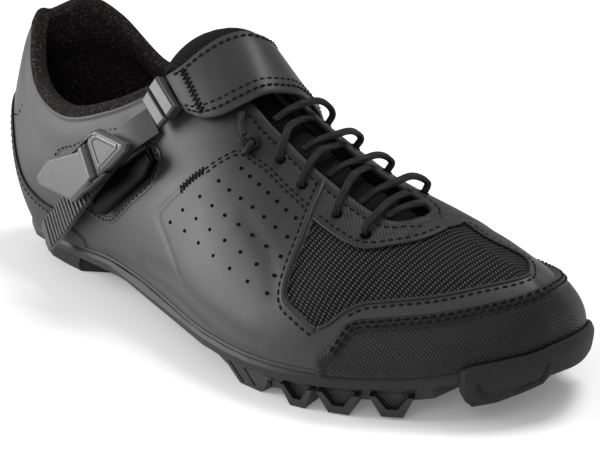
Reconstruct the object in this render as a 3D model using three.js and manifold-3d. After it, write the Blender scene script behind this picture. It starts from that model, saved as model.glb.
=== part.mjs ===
// A cycling shoe for the right foot: a hollow upper on a stiff lugged sole, with a
// laced throat and an instep strap drawn up by a toothed ladder and a two-lever buckle.
// X runs from the heel to the toe, Y to the inner side of the foot and Z up.
// The origin is the middle of the heel block's resting face.
import * as THREE from "three";
import { mergeVertices } from "three/addons/utils/BufferGeometryUtils.js";
import Module from "manifold-3d";

const wasm = await Module();
wasm.setup();

// Driving dimensions in millimetres
const LENGTH = 290;
const HALF_BALL = 54;
const INSTEP = 100;
const WALL = 2.2;
const COLLAR_PAD = 6;
const MESH_STEP = 0.8;
const OVERLAY = 1.3;
const FIT = 0.4;
const HEEL_CENTRE = 38;

// The sole
const RIM_BAND = 5.3;
const PLATE_BELOW_BAND = 1.2;
const PLATE_INSET = 6;
const BAND_PROUD = 1.2;
const HEEL_BLOCK_LENGTH = 68;
const TREAD_INSET = 3;
const TREAD_END = 0.89 * LENGTH;
const LUG_DEPTH = 12;
const LUG_HEIGHT = 8;
const LUG_POCKET = 2.2;
const POCKET_RISE = 3;
const SLIT_WIDTH = 0.9;
const SLIT_DEPTH = 1.6;
const CLEAT_FLOOR = 10.4;
const CLEAT_LENGTH = 44;
const CLEAT_WIDTH = 38;
const CLEAT_CENTRE = 200;
const WINDOW_LENGTH = CLEAT_LENGTH + 8;
const WINDOW_WIDTH = CLEAT_WIDTH + 6;
const WINDOW_CENTRE = CLEAT_CENTRE - 2;
const TREAD_START = WINDOW_CENTRE - WINDOW_LENGTH / 2 + 0.5;
const SLOT_LENGTH = 30;
const SLOT_WIDTH = 5;
const SLOT_SPACING = 14;
const SLOT_DEPTH = 2.5;
const BUMPER_PROUD = 3.2;

// The fittings
const INSOLE = 3;
const TONGUE = 4;
const STRAP = 2.4;
const LADDER_WIDTH = 12;
const LADDER = 1.8;
const TOOTH_PITCH = 3.1;
const TOOTH_HEIGHT = 1;
const LACE = 2.9;
const LACE_STEPS = 12;
const EYELET = 4.6;
const BASE_THICKNESS = 3.6;
const LEVER_THICKNESS = 4.6;
const PIN = 4;

// Height of the line where the upper meets the sole, as shares of LENGTH and INSTEP
const RIM_LINE = [
  { x: 0.0, z: 0.17 },
  { x: 0.1, z: 0.152 },
  { x: 0.22, z: 0.15 },
  { x: 0.34, z: 0.17 },
  { x: 0.46, z: 0.172 },
  { x: 0.58, z: 0.155 },
  { x: 0.7, z: 0.145 },
  { x: 0.8, z: 0.155 },
  { x: 0.9, z: 0.185 },
  { x: 1.0, z: 0.27 },
];

// The upper's arches, in order from the heel's back round the outer side to the toe
// and back along the inner side. Each rises from a foot on the sole's edge to the
// collar, the throat's edge or the ridge over the toes. footX and topX are shares of
// LENGTH, the Y values, bulge and shoulder of HALF_BALL, and topZ, lift and drop of INSTEP.
const ARCH_COLUMNS = ["footX", "footY", "topX", "topY", "topZ", "bulge", "lift", "shoulder", "drop"];
const ARCHES = [
  [0.026, 0.0, 0.031, 0.0, 0.985, 0.2, 0.26, 0.31, 0.36],
  [0.047, -0.33, 0.041, -0.19, 0.98, 0.2, 0.26, 0.31, 0.36],
  [0.105, -0.55, 0.1, -0.43, 0.77, 0.16, 0.24, 0.16, 0.24],
  [0.21, -0.61, 0.2, -0.57, 0.705, 0.15, 0.22, 0.08, 0.18],
  [0.31, -0.67, 0.3, -0.54, 0.78, 0.12, 0.24, 0.1, 0.2],
  [0.41, -0.79, 0.4, -0.4, 0.91, 0.1, 0.26, 0.2, 0.24],
  [0.5, -0.92, 0.49, -0.265, 0.93, 0.06, 0.26, 0.32, 0.2],
  [0.59, -1.03, 0.575, -0.265, 0.812, 0.04, 0.22, 0.4, 0.16],
  [0.68, -1.06, 0.66, -0.26, 0.685, 0.03, 0.2, 0.44, 0.12],
  [0.755, -0.99, 0.758, -0.25, 0.588, 0.03, 0.19, 0.46, 0.06],
  [0.82, -0.84, 0.785, 0.0, 0.583, 0.04, 0.18, 0.46, 0.0],
  [0.88, -0.62, 0.802, 0.0, 0.576, 0.05, 0.17, 0.44, 0.0],
  [0.927, -0.4, 0.82, 0.0, 0.565, 0.05, 0.17, 0.4, 0.0],
  [0.967, -0.15, 0.842, 0.0, 0.55, 0.05, 0.18, 0.36, 0.0],
  [0.984, 0.1, 0.866, 0.0, 0.535, 0.03, 0.2, 0.3, -0.01],
  [0.977, 0.34, 0.842, 0.0, 0.55, 0.03, 0.18, 0.34, 0.0],
  [0.95, 0.56, 0.82, 0.0, 0.565, 0.04, 0.17, 0.4, 0.0],
  [0.9, 0.74, 0.802, 0.0, 0.576, 0.05, 0.17, 0.44, 0.0],
  [0.83, 0.86, 0.785, 0.0, 0.583, 0.04, 0.18, 0.46, 0.0],
  [0.755, 0.9, 0.758, 0.18, 0.588, 0.03, 0.19, 0.46, 0.06],
  [0.68, 0.9, 0.66, 0.19, 0.675, 0.03, 0.2, 0.44, 0.12],
  [0.59, 0.86, 0.575, 0.19, 0.79, 0.04, 0.22, 0.4, 0.16],
  [0.5, 0.76, 0.49, 0.19, 0.905, 0.06, 0.26, 0.32, 0.2],
  [0.41, 0.66, 0.4, 0.36, 0.91, 0.1, 0.26, 0.2, 0.24],
  [0.31, 0.61, 0.3, 0.5, 0.81, 0.12, 0.24, 0.1, 0.2],
  [0.21, 0.6, 0.18, 0.55, 0.76, 0.14, 0.22, 0.08, 0.18],
  [0.105, 0.54, 0.102, 0.42, 0.95, 0.16, 0.24, 0.14, 0.26],
  [0.047, 0.33, 0.062, 0.25, 1.025, 0.2, 0.26, 0.26, 0.36],
];
const STATIONS = ARCHES.length;
const TOE_STATION = 14;
const THROAT_END = 10;
const RIDGE_SLOPE = 0.27;
const ARCH_LINES = [0, 0.07, 0.15, 0.24, 0.33, 0.42, 0.51, 0.6, 0.69, 0.78, 0.86, 0.93, 1];

const clamp01 = (value) => Math.min(1, Math.max(0, value));
const mix = (from, to, share) => from + (to - from) * share;
const between = (table, x, key) => {
  const next = table.findIndex((row) => row.x > x);
  if (next === 0) return table[0][key];
  if (next < 0) return table[table.length - 1][key];
  const low = table[next - 1];
  const high = table[next];
  return mix(low[key], high[key], (x - low.x) / (high.x - low.x));
};
const smooth = (from, to, value) => {
  const share = clamp01((value - from) / (to - from));
  return share * share * (3 - 2 * share);
};
const evenly = (from, to, count) => Array.from({ length: count + 1 }, (_, i) => mix(from, to, i / count));
const place = (x, y, z) => new THREE.Vector3(x * LENGTH, y * HALF_BALL, z * INSTEP);

// One arch at any station between the rows
function archAt(station) {
  const whole = Math.floor(station);
  const t = station - whole;
  const pick = (step) => ARCHES[(whole + step + 2 * STATIONS) % STATIONS];
  const [a, b, c, d] = [pick(-1), pick(0), pick(1), pick(2)];
  return Object.fromEntries(ARCH_COLUMNS.map((name, k) => {
    const slopeTerm = (c[k] - a[k]) * t;
    const squareTerm = (2 * a[k] - 5 * b[k] + 4 * c[k] - d[k]) * t * t;
    const cubeTerm = (3 * b[k] - a[k] - 3 * c[k] + d[k]) * t * t * t;
    return [name, 0.5 * (2 * b[k] + slopeTerm + squareTerm + cubeTerm)];
  }));
}

// The rim line's height, drawn smoothly through its table
function rimHeight(x) {
  const share = x / LENGTH;
  const last = RIM_LINE.length - 1;
  const found = RIM_LINE.findIndex((row) => row.x > share) - 1;
  const k = found < 0 ? last - 1 : Math.max(0, found);
  const slope = (i) => {
    const before = RIM_LINE[Math.max(0, i - 1)];
    const after = RIM_LINE[Math.min(last, i + 1)];
    return (after.z - before.z) / (after.x - before.x);
  };
  const [low, high] = [RIM_LINE[k], RIM_LINE[k + 1]];
  const width = high.x - low.x;
  const t = clamp01((share - low.x) / width);
  const t2 = t * t;
  const t3 = t2 * t;
  const ends = (2 * t3 - 3 * t2 + 1) * low.z + (3 * t2 - 2 * t3) * high.z;
  const slopes = (t3 - 2 * t2 + t) * slope(k) + (t3 - t2) * slope(k + 1);
  return INSTEP * (ends + width * slopes);
}

const onRidge = (station) => station >= THROAT_END && station <= STATIONS - THROAT_END;

// A point of the outer surface: a cubic curve from the arch's foot to its top
function surfacePoint(rawStation, up) {
  const station = (rawStation + STATIONS) % STATIONS;
  const ridge = onRidge(station);
  const arch = archAt(station);
  const crown = archAt(ridge ? Math.min(station, STATIONS - station) : station);
  const side = station < TOE_STATION ? -1 : 1;
  const open = ridge ? 0 : Math.max(0, side * arch.topY);
  const middle = 0.04 * smooth(0.6, 0.78, crown.topX) + 0.04 * smooth(0.76, 0.88, crown.topX);
  const foot = new THREE.Vector3(arch.footX * LENGTH, arch.footY * HALF_BALL, 0);
  foot.z = rimHeight(foot.x);
  const top = place(crown.topX, side * open + middle, crown.topZ);
  const across = new THREE.Vector3(foot.x - top.x, foot.y - top.y, 0).normalize();
  const fromHeel = new THREE.Vector3(foot.x - Math.max(foot.x, HEEL_CENTRE), foot.y, 0).normalize();
  const heelShare = 1 - smooth(0.27, 0.42, arch.footX);
  const out = across.lerp(fromHeel, heelShare).normalize();
  const low = foot.clone().addScaledVector(out, arch.bulge * HALF_BALL);
  low.z += arch.lift * INSTEP;
  const reach = arch.shoulder * HALF_BALL;
  const high = top.clone().addScaledVector(out, reach);
  high.z -= arch.drop * INSTEP + (ridge ? RIDGE_SLOPE * out.x * reach : 0);
  const down = 1 - up;
  return new THREE.Vector3()
    .addScaledVector(foot, down * down * down)
    .addScaledVector(low, 3 * down * down * up)
    .addScaledVector(high, 3 * down * up * up)
    .addScaledVector(top, up * up * up);
}

function surfaceNormal(station, up) {
  const step = 0.01;
  const at = Math.min(1 - step, Math.max(step, up));
  const along = surfacePoint(station + step, at).sub(surfacePoint(station - step, at));
  const rise = surfacePoint(station, at + step).sub(surfacePoint(station, at - step));
  return along.cross(rise).normalize();
}

// A point at a distance from the outer surface, outwards if positive
function offsetPoint(station, up, distance) {
  const normal = surfaceNormal(station, up);
  if (onRidge(station) && up > 0.999) normal.add(surfaceNormal(STATIONS - station, up)).normalize();
  return surfacePoint(station, up).addScaledVector(normal, distance);
}

// Closed geometry from points and faces, with shared corners merged and faces outward
function closed(points, faces) {
  const geometry = new THREE.BufferGeometry();
  geometry.setAttribute("position", new THREE.Float32BufferAttribute(points.flatMap((p) => [p.x, p.y, p.z]), 3));
  geometry.setIndex(faces.flat());
  const merged = mergeVertices(geometry, 1e-4);
  const index = merged.getIndex().array;
  const position = merged.getAttribute("position");
  const corner = (i) => new THREE.Vector3().fromBufferAttribute(position, i);
  const kept = [];
  let volume = 0;
  for (let i = 0; i < index.length; i += 3) {
    const [a, b, c] = [index[i], index[i + 1], index[i + 2]];
    if (a === b || b === c || c === a) continue;
    kept.push([a, b, c]);
    volume += corner(a).dot(corner(b).cross(corner(c)));
  }
  merged.setIndex(kept.flatMap(([a, b, c]) => (volume > 0 ? [a, b, c] : [a, c, b])));
  return merged;
}

// A sheet between two skins over the same rows and columns, closed along its edges.
// A looped sheet joins its last row to its first. capped says where its far edge is open.
function sheet(rows, columns, outer, inner, looped = false, capped = () => true) {
  const points = [];
  const faces = [];
  const width = columns;
  for (const skin of [outer, inner]) {
    for (let i = 0; i < rows; i += 1) {
      for (let j = 0; j < width; j += 1) points.push(skin(i, j));
    }
  }
  const at = (skin, i, j) => skin * rows * width + (i % rows) * width + j;
  const quad = (a, b, c, d) => faces.push([a, b, c], [a, c, d]);
  const rowSteps = looped ? rows : rows - 1;
  for (let i = 0; i < rowSteps; i += 1) {
    for (let j = 0; j < width - 1; j += 1) {
      quad(at(0, i, j), at(0, i + 1, j), at(0, i + 1, j + 1), at(0, i, j + 1));
      quad(at(1, i, j), at(1, i, j + 1), at(1, i + 1, j + 1), at(1, i + 1, j));
    }
    quad(at(0, i + 1, 0), at(0, i, 0), at(1, i, 0), at(1, i + 1, 0));
    const far = width - 1;
    if (capped(i)) quad(at(0, i, far), at(0, i + 1, far), at(1, i + 1, far), at(1, i, far));
  }
  if (!looped) {
    for (let j = 0; j < width - 1; j += 1) {
      const last = rows - 1;
      quad(at(0, 0, j), at(0, 0, j + 1), at(1, 0, j + 1), at(1, 0, j));
      quad(at(0, last, j + 1), at(0, last, j), at(1, last, j), at(1, last, j + 1));
    }
  }
  return closed(points, faces);
}

// A solid through rings of equally many points, its two ends closed by strips across
function loft(rings) {
  const count = rings[0].length;
  const points = rings.flat();
  const faces = [];
  for (let k = 0; k < rings.length - 1; k += 1) {
    for (let i = 0; i < count; i += 1) {
      const next = (i + 1) % count;
      const [a, b] = [k * count + i, k * count + next];
      faces.push([a, b, b + count], [a, b + count, a + count]);
    }
  }
  const cap = (base, turned) => {
    for (let i = 0; i < count / 2 - 1; i += 1) {
      const [a, b] = [base + i, base + i + 1];
      const [c, d] = [base + count - 2 - i, base + count - 1 - i];
      faces.push(turned ? [a, b, c] : [a, c, b], turned ? [a, c, d] : [a, d, c]);
    }
  };
  cap(0, false);
  cap((rings.length - 1) * count, true);
  return closed(points, faces);
}

function solid(geometry) {
  const bare = new THREE.BufferGeometry();
  bare.setAttribute("position", geometry.getAttribute("position").clone());
  bare.setIndex(geometry.getIndex() ? [...geometry.getIndex().array] : null);
  const merged = mergeVertices(bare, 1e-4);
  return new wasm.Manifold(new wasm.Mesh({
    numProp: 3,
    vertProperties: new Float32Array(merged.getAttribute("position").array),
    triVerts: new Uint32Array(merged.getIndex().array),
  }));
}

function geometryOf(manifold) {
  const mesh = manifold.getMesh();
  const geometry = new THREE.BufferGeometry();
  geometry.setAttribute("position", new THREE.Float32BufferAttribute(mesh.vertProperties, 3));
  geometry.setIndex([...mesh.triVerts]);
  return geometry;
}

// A block with its own size below and above, standing on z = low
function taperedBlock(lower, upper, low, high) {
  const ring = (size, z) => [
    new THREE.Vector3(size.x / 2, size.y / 2, z),
    new THREE.Vector3(-size.x / 2, size.y / 2, z),
    new THREE.Vector3(-size.x / 2, -size.y / 2, z),
    new THREE.Vector3(size.x / 2, -size.y / 2, z),
  ];
  return loft([ring(lower, low), ring(upper, high)]);
}

// Sizes and places that several pieces share
const stations = evenly(0, STATIONS - 0.5, 2 * STATIONS - 1);
const underBand = (x) => rimHeight(x) - RIM_BAND;
const underPlate = (x) => underBand(x) - PLATE_BELOW_BAND;

// A plan point of the sole's outline, moved outwards by a distance
function outlinePoint(station, out) {
  const step = 0.02;
  const here = surfacePoint(station, 0);
  const along = surfacePoint(station + step, 0).sub(surfacePoint(station - step, 0));
  const normal = new THREE.Vector3(along.y, -along.x, 0).normalize();
  return new THREE.Vector3(here.x, here.y, 0).addScaledVector(normal, out);
}

// A ring of the whole outline, from the toe round and back, at a height that depends on x
function outlineRing(out, height) {
  return stations.map((station) => {
    const point = outlinePoint(station + TOE_STATION, out);
    point.z = height(surfacePoint(station + TOE_STATION, 0).x);
    return point;
  });
}

const MATERIALS = {
  leather: { color: 0x3a3b3d, roughness: 0.55, metalness: 0 },
  fabric: { color: 0x202123, roughness: 0.85, metalness: 0 },
  nylon: { color: 0x2b2c2e, roughness: 0.5, metalness: 0 },
  rubber: { color: 0x1d1e20, roughness: 0.85, metalness: 0 },
  lever: { color: 0x55575a, roughness: 0.35, metalness: 0.3 },
  steel: { color: 0x8d9093, roughness: 0.3, metalness: 0.9 },
  gloss: { color: 0x101112, roughness: 0.2, metalness: 0 },
  lace: { color: 0x2a2b2d, roughness: 0.8, metalness: 0 },
};

function piece(name, geometry, material) {
  const mesh = new THREE.Mesh(geometry, new THREE.MeshStandardMaterial(MATERIALS[material]));
  mesh.name = name;
  return mesh;
}

// The padded collar is thicker than the rest of the wall
function wallThickness(station, up) {
  const fromHeel = Math.min(station, STATIONS - station);
  const padded = 1 - smooth(4.5, 6.2, fromHeel);
  return WALL + (COLLAR_PAD - WALL) * padded * smooth(0.7, 0.9, up);
}

// A panel laid on or sunk into the surface, between two lines across the arches
function panel(from, to, lines, under, over) {
  const onGrid = evenly(0, 2 * STATIONS, 4 * STATIONS).map((station) => station - STATIONS / 2);
  const inRange = [...onGrid, ...lines.map((line) => line.x)].filter((x) => x > from && x < to);
  const rowStations = [from, ...new Set(inRange.sort((a, b) => a - b)), to];
  const least = Math.min(...lines.map((line) => line.low ?? 0));
  const most = Math.max(...lines.map((line) => line.high));
  const inside = ARCH_LINES.filter((up) => up > least && up < most);
  const skin = (distance) => (i, j) => {
    const station = rowStations[i];
    const low = between(lines, station, "low");
    const high = between(lines, station, "high");
    const up = j === 0 ? low : (inside[j - 1] ?? high);
    return offsetPoint(station, Math.min(high, Math.max(low, up)), distance);
  };
  return sheet(rowStations.length, inside.length + 2, skin(over), skin(under));
}

const EYELETS = [
  { name: "outer_1", station: 7.33, up: 0.924 },
  { name: "outer_2", station: 7.82, up: 0.906 },
  { name: "outer_3", station: 8.46, up: 0.897 },
  { name: "outer_4", station: 9.02, up: 0.872 },
  { name: "inner_1", station: 21.27, up: 0.87 },
  { name: "inner_2", station: 20.66, up: 0.88 },
  { name: "inner_3", station: 20.03, up: 0.88 },
  { name: "inner_4", station: 19.43, up: 0.88 },
];

// The stitched mesh window over the toes lies lower than the leather round it
const MESH_FROM = 8.25;
const MESH_TO = 19.5;
const MESH_LINES = [
  { x: 8.25, low: 0.74, high: 0.81 },
  { x: 8.36, low: 0.67, high: 0.805 },
  { x: 8.5, low: 0.43, high: 0.8 },
  { x: 8.9, low: 0.34, high: 0.79 },
  { x: 9.3, low: 0.275, high: 0.755 },
  { x: 9.5, low: 0.31, high: 0.745 },
  { x: 9.85, low: 0.41, high: 0.745 },
  { x: 10.5, low: 0.455, high: 0.81 },
  { x: 12, low: 0.52, high: 0.87 },
  { x: 14, low: 0.57, high: 0.9 },
  { x: 16, low: 0.52, high: 0.87 },
  { x: 17.5, low: 0.46, high: 0.82 },
  { x: 18.15, low: 0.41, high: 0.745 },
  { x: 18.6, low: 0.3, high: 0.745 },
  { x: 19.1, low: 0.35, high: 0.78 },
  { x: 19.5, low: 0.62, high: 0.8 },
];

function upper() {
  const skin = (thick) => (i, j) => {
    const up = ARCH_LINES[j];
    return offsetPoint(stations[i], up, thick ? -wallThickness(stations[i], up) : 0);
  };
  const opens = (i) => !(onRidge(stations[i]) && onRidge((stations[i] + 0.5) % STATIONS));
  let shell = solid(sheet(stations.length, ARCH_LINES.length, skin(false), skin(true), true, opens));
  shell = shell.subtract(solid(panel(MESH_FROM, MESH_TO, MESH_LINES, -MESH_STEP, 2 * MESH_STEP)));
  for (const eyelet of EYELETS) {
    const punch = new THREE.CylinderGeometry(EYELET / 2, EYELET / 2, 6 * WALL, 8);
    const normal = surfaceNormal(eyelet.station, eyelet.up);
    punch.applyQuaternion(new THREE.Quaternion().setFromUnitVectors(new THREE.Vector3(0, 1, 0), normal));
    const centre = surfacePoint(eyelet.station, eyelet.up);
    punch.translate(centre.x, centre.y, centre.z);
    punch.deleteAttribute("normal");
    punch.deleteAttribute("uv");
    shell = shell.subtract(solid(punch));
  }
  return piece("upper", geometryOf(shell), "leather");
}

const TOE_CAP_LINES = [
  { x: 9.5, low: 0, high: 0.14 },
  { x: 9.75, low: 0, high: 0.29 },
  { x: 10, low: 0, high: 0.33 },
  { x: 11, low: 0, high: 0.38 },
  { x: 12, low: 0, high: 0.41 },
  { x: 14, low: 0, high: 0.45 },
  { x: 16, low: 0, high: 0.42 },
  { x: 17, low: 0, high: 0.39 },
  { x: 18, low: 0, high: 0.34 },
  { x: 18.25, low: 0, high: 0.29 },
  { x: 18.5, low: 0, high: 0.14 },
];

function toeCap() {
  return piece("toe_cap", panel(9.5, 18.5, TOE_CAP_LINES, FIT, FIT + OVERLAY), "leather");
}

const COUNTER_LINES = [
  { x: -3.4, low: 0, high: 0.08 },
  { x: -2.7, low: 0, high: 0.215 },
  { x: -1.8, low: 0, high: 0.33 },
  { x: 0, low: 0, high: 0.5 },
  { x: 1.8, low: 0, high: 0.33 },
  { x: 2.7, low: 0, high: 0.215 },
  { x: 3.4, low: 0, high: 0.08 },
];

function heelCounter() {
  return piece("heel_counter", panel(-3.4, 3.4, COUNTER_LINES, FIT, FIT + OVERLAY), "nylon");
}

function solePlate() {
  const top = (x) => rimHeight(x) - FIT;
  const rings = [
    outlineRing(0.3, top),
    outlineRing(BAND_PROUD, (x) => top(x) - 0.3 * RIM_BAND),
    outlineRing(BAND_PROUD * 0.8, (x) => underBand(x) + 0.5),
    outlineRing(-0.4, underBand),
    outlineRing(-PLATE_INSET, underPlate),
  ];
  let plate = solid(loft(rings));
  const pocket = new THREE.BoxGeometry(CLEAT_LENGTH, CLEAT_WIDTH, CLEAT_FLOOR);
  pocket.translate(CLEAT_CENTRE, 0, CLEAT_FLOOR / 2);
  plate = plate.subtract(solid(bareBox(pocket)));
  for (const side of [-1, 1]) {
    const slot = new THREE.BoxGeometry(SLOT_LENGTH, SLOT_WIDTH, CLEAT_FLOOR + SLOT_DEPTH);
    slot.translate(CLEAT_CENTRE, side * SLOT_SPACING / 2, (CLEAT_FLOOR + SLOT_DEPTH) / 2);
    plate = plate.subtract(solid(bareBox(slot)));
  }
  return piece("sole_plate", geometryOf(plate), "nylon");
}

function bareBox(geometry) {
  geometry.deleteAttribute("normal");
  geometry.deleteAttribute("uv");
  return geometry;
}

// Everything at and above the plate's lower face, less the fit
function abovePlate() {
  const rise = 40;
  const beyond = 4 * TREAD_INSET;
  return solid(loft([
    outlineRing(-PLATE_INSET, (x) => underPlate(x) - FIT),
    outlineRing(-0.4, (x) => underBand(x) - FIT),
    outlineRing(beyond, (x) => underBand(x) - FIT),
    outlineRing(beyond, (x) => underBand(x) + rise),
  ]));
}

// A ring of part of the outline, closed straight across between its two ends
function partRing(from, to, count, out, height) {
  return evenly(from, to, count).map((station) => {
    const point = outlinePoint(station, out);
    point.z = height(point.x);
    return point;
  });
}

const HEEL_SPAN = 3.4;

// The heel block's front edge, x as a share of HEEL_BLOCK_LENGTH and y of HALF_BALL.
// It leans forwards as it rises.
const HEEL_FRONT = [[1, 0.36], [0.82, 0.52], [0.82, 3], [5, 3], [5, -3], [0.82, -3], [0.82, -0.52], [1, -0.36]];
const HEEL_FRONT_LEAN = 0.4;

function heelTread() {
  const rise = 25;
  const ring = (out, z) => partRing(-HEEL_SPAN, HEEL_SPAN, 15, out, () => z);
  const block = loft([ring(-TREAD_INSET - 2.2, 0), ring(-TREAD_INSET - 1, 2.2), ring(-TREAD_INSET + 1, rise)]);
  const corner = ([x, y]) => new THREE.Vector2(x * HEEL_BLOCK_LENGTH, y * HALF_BALL);
  const front = new THREE.ExtrudeGeometry(new THREE.Shape(HEEL_FRONT.map(corner)), { depth: 2 * rise, bevelEnabled: false });
  front.translate(0, 0, -rise);
  front.applyMatrix4(new THREE.Matrix4().makeShear(0, 0, 0, 0, HEEL_FRONT_LEAN, 0));
  const body = solid(block).subtract(solid(bareBox(front))).subtract(abovePlate());
  return piece("heel_tread", geometryOf(body), "rubber");
}

// Lower face of the forefoot tread between its lugs, x as a share of LENGTH, z of INSTEP
const TREAD_FLOOR = [
  { x: 0.58, z: 0.09 },
  { x: 0.66, z: 0.012 },
  { x: 0.7, z: 0.03 },
  { x: 0.74, z: 0.048 },
  { x: 0.86, z: 0.06 },
  { x: 0.96, z: 0.11 },
];

// The lugs round the forefoot. length runs along the outline at the lug's lower face and
// flare is how much each end widens upwards, both as shares of LUG_HEIGHT. inset is the
// lower face's distance inside the outline as a share of TREAD_INSET, and deep its depth
// as a share of LUG_DEPTH. rise is the lower face's height as a share of LUG_HEIGHT.
const LUGS = [
  { station: 7.86, length: 1.4, flare: 0.9, inset: 1.2, deep: 2, rise: 0, pocket: false },
  { station: 8.94, length: 0.75, flare: 0.45, inset: 0.3, deep: 1, rise: 0, pocket: true },
  { station: 9.72, length: 0.95, flare: 0.5, inset: 0.3, deep: 1, rise: 0.04, pocket: true },
  { station: 10.63, length: 0.95, flare: 0.5, inset: 0.3, deep: 1, rise: 0.12, pocket: true },
  { station: 20.14, length: 1.4, flare: 0.9, inset: 1.2, deep: 1.7, rise: 0, pocket: false },
  { station: 19.06, length: 0.75, flare: 0.45, inset: 0.3, deep: 1, rise: 0, pocket: true },
  { station: 18.28, length: 0.95, flare: 0.5, inset: 0.3, deep: 1, rise: 0.04, pocket: true },
  { station: 17.3, length: 0.95, flare: 0.5, inset: 0.3, deep: 1, rise: 0.12, pocket: true },
];

// Slits in the forefoot's side wall, with height and length as shares of LUG_HEIGHT
// and lean in degrees, the lower end nearer the toe
const SLITS = [
  { station: 7.56, height: 0.7, length: 1.5, lean: 42 },
  { station: 7.88, height: 0.56, length: 0.95, lean: 37 },
  { station: 8.33, height: 0.54, length: 0.62, lean: 3 },
];

// Turns a geometry so that its x runs along the outline, and sets it down there
function onOutline(geometry, station, out, height) {
  const step = 0.03;
  const behind = outlinePoint(station - step, out);
  const ahead = outlinePoint(station + step, out);
  const centre = outlinePoint(station, out);
  geometry.rotateZ(Math.atan2(ahead.y - behind.y, ahead.x - behind.x));
  return geometry.translate(centre.x, centre.y, height);
}

function forefootTread() {
  const floor = (x) => INSTEP * between(TREAD_FLOOR, x / LENGTH, "z");
  const ring = (out, height) => partRing(6.9, STATIONS - 6.9, 43, out, height);
  const high = () => 30;
  const base = loft([ring(-TREAD_INSET - 0.6, floor), ring(-TREAD_INSET + 2, high)]);
  let tread = solid(base);
  for (const { station, length, flare, inset, deep, rise, pocket } of LUGS) {
    const lower = { x: length * LUG_HEIGHT, y: deep * LUG_DEPTH };
    const top = { x: lower.x + 2 * flare * LUG_HEIGHT, y: lower.y + 0.2 * LUG_DEPTH };
    const middle = -inset * TREAD_INSET - lower.y / 2;
    const block = taperedBlock(lower, top, 0, LUG_HEIGHT);
    tread = tread.add(solid(onOutline(block, station, middle, rise * LUG_HEIGHT)));
    if (!pocket) continue;
    const mouth = { x: 0.5 * lower.x, y: 2 * LUG_POCKET };
    const wide = { x: top.x - 0.4 * lower.x, y: 2 * LUG_POCKET };
    const hollow = taperedBlock(mouth, wide, POCKET_RISE, LUG_HEIGHT + 1);
    tread = tread.subtract(solid(onOutline(hollow, station, -inset * TREAD_INSET, rise * LUG_HEIGHT)));
  }
  const keep = new THREE.BoxGeometry(TREAD_END - TREAD_START, 4 * HALF_BALL, 4 * INSTEP);
  keep.translate((TREAD_END + TREAD_START) / 2, 0, 0);
  const window = new THREE.BoxGeometry(WINDOW_LENGTH, WINDOW_WIDTH, 4 * INSTEP);
  window.translate(WINDOW_CENTRE, 0, 0);
  tread = tread.intersect(solid(bareBox(keep))).subtract(solid(bareBox(window))).subtract(abovePlate());
  for (const side of [-1, 1]) {
    for (const { station, height, length, lean } of SLITS) {
      const slit = new THREE.BoxGeometry(SLIT_WIDTH, 2 * SLIT_DEPTH, length * LUG_HEIGHT);
      slit.rotateY(side * THREE.MathUtils.degToRad(lean));
      const at = side < 0 ? station : STATIONS - station;
      tread = tread.subtract(solid(bareBox(onOutline(slit, at, -TREAD_INSET, height * LUG_HEIGHT))));
    }
  }
  return piece("forefoot_tread", geometryOf(tread), "rubber");
}

// The block that wraps the toe below and in front of the rim band
const BUMPER_LOW = [
  { x: 11.7, z: 0.052 },
  { x: 12.6, z: 0.07 },
  { x: 13.4, z: 0.1 },
  { x: 14.2, z: 0.14 },
  { x: 15, z: 0.165 },
  { x: 16.4, z: 0.13 },
];

function toeBumper() {
  const rowStations = evenly(11.85, 16.4, 12);
  const section = (station) => {
    const x = surfacePoint(station, 0).x;
    const rim = rimHeight(x);
    const low = INSTEP * between(BUMPER_LOW, station, "z");
    const touch = BAND_PROUD + FIT;
    return [
      [touch, rim - 2.6],
      [BUMPER_PROUD, rim - 2.8],
      [BUMPER_PROUD + 0.8, rim - 5],
      [BUMPER_PROUD - 0.6, low + 0.8],
      [-7, low],
      [-7, underPlate(x) - 1.6 * FIT],
      [-0.4, underBand(x) - 2.2 * FIT],
      [touch, underBand(x) - FIT],
    ].map(([out, z]) => {
      const point = outlinePoint(station, out);
      point.z = z;
      return point;
    });
  };
  return piece("toe_bumper", loft(rowStations.map(section)), "rubber");
}

function insole() {
  const out = -(WALL + 1.2);
  const bottom = (x) => rimHeight(x) + FIT;
  const rings = [
    outlineRing(out - 0.6, bottom),
    outlineRing(out, (x) => bottom(x) + 0.4 * INSOLE),
    outlineRing(out - 0.2, (x) => bottom(x) + INSOLE),
  ];
  return piece("insole", loft(rings), "fabric");
}

// The tongue's length, from under the vamp to its free top. x is a share of LENGTH,
// z and sag of INSTEP, middle and half of HALF_BALL, and thick of TONGUE.
const TONGUE_ROWS = [
  { x: 0.795, z: 0.53, middle: -0.035, half: 0.26, sag: 0.03, thick: 0.5 },
  { x: 0.765, z: 0.545, middle: -0.035, half: 0.32, sag: 0.04, thick: 0.6 },
  { x: 0.72, z: 0.58, middle: -0.035, half: 0.4, sag: 0.08, thick: 0.8 },
  { x: 0.66, z: 0.64, middle: -0.035, half: 0.42, sag: 0.11, thick: 1 },
  { x: 0.6, z: 0.715, middle: -0.035, half: 0.42, sag: 0.14, thick: 1 },
  { x: 0.55, z: 0.79, middle: -0.035, half: 0.42, sag: 0.17, thick: 1 },
  { x: 0.5, z: 0.89, middle: -0.02, half: 0.3, sag: 0.17, thick: 1.1 },
  { x: 0.455, z: 1.02, middle: -0.03, half: 0.19, sag: 0.09, thick: 1.2 },
  { x: 0.42, z: 1.1, middle: 0.03, half: 0.26, sag: 0.08, thick: 1.4 },
  { x: 0.388, z: 1.085, middle: 0.03, half: 0.27, sag: 0.08, thick: 1.6 },
  { x: 0.372, z: 1.03, middle: 0.03, half: 0.22, sag: 0.08, thick: 0.8 },
];

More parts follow.
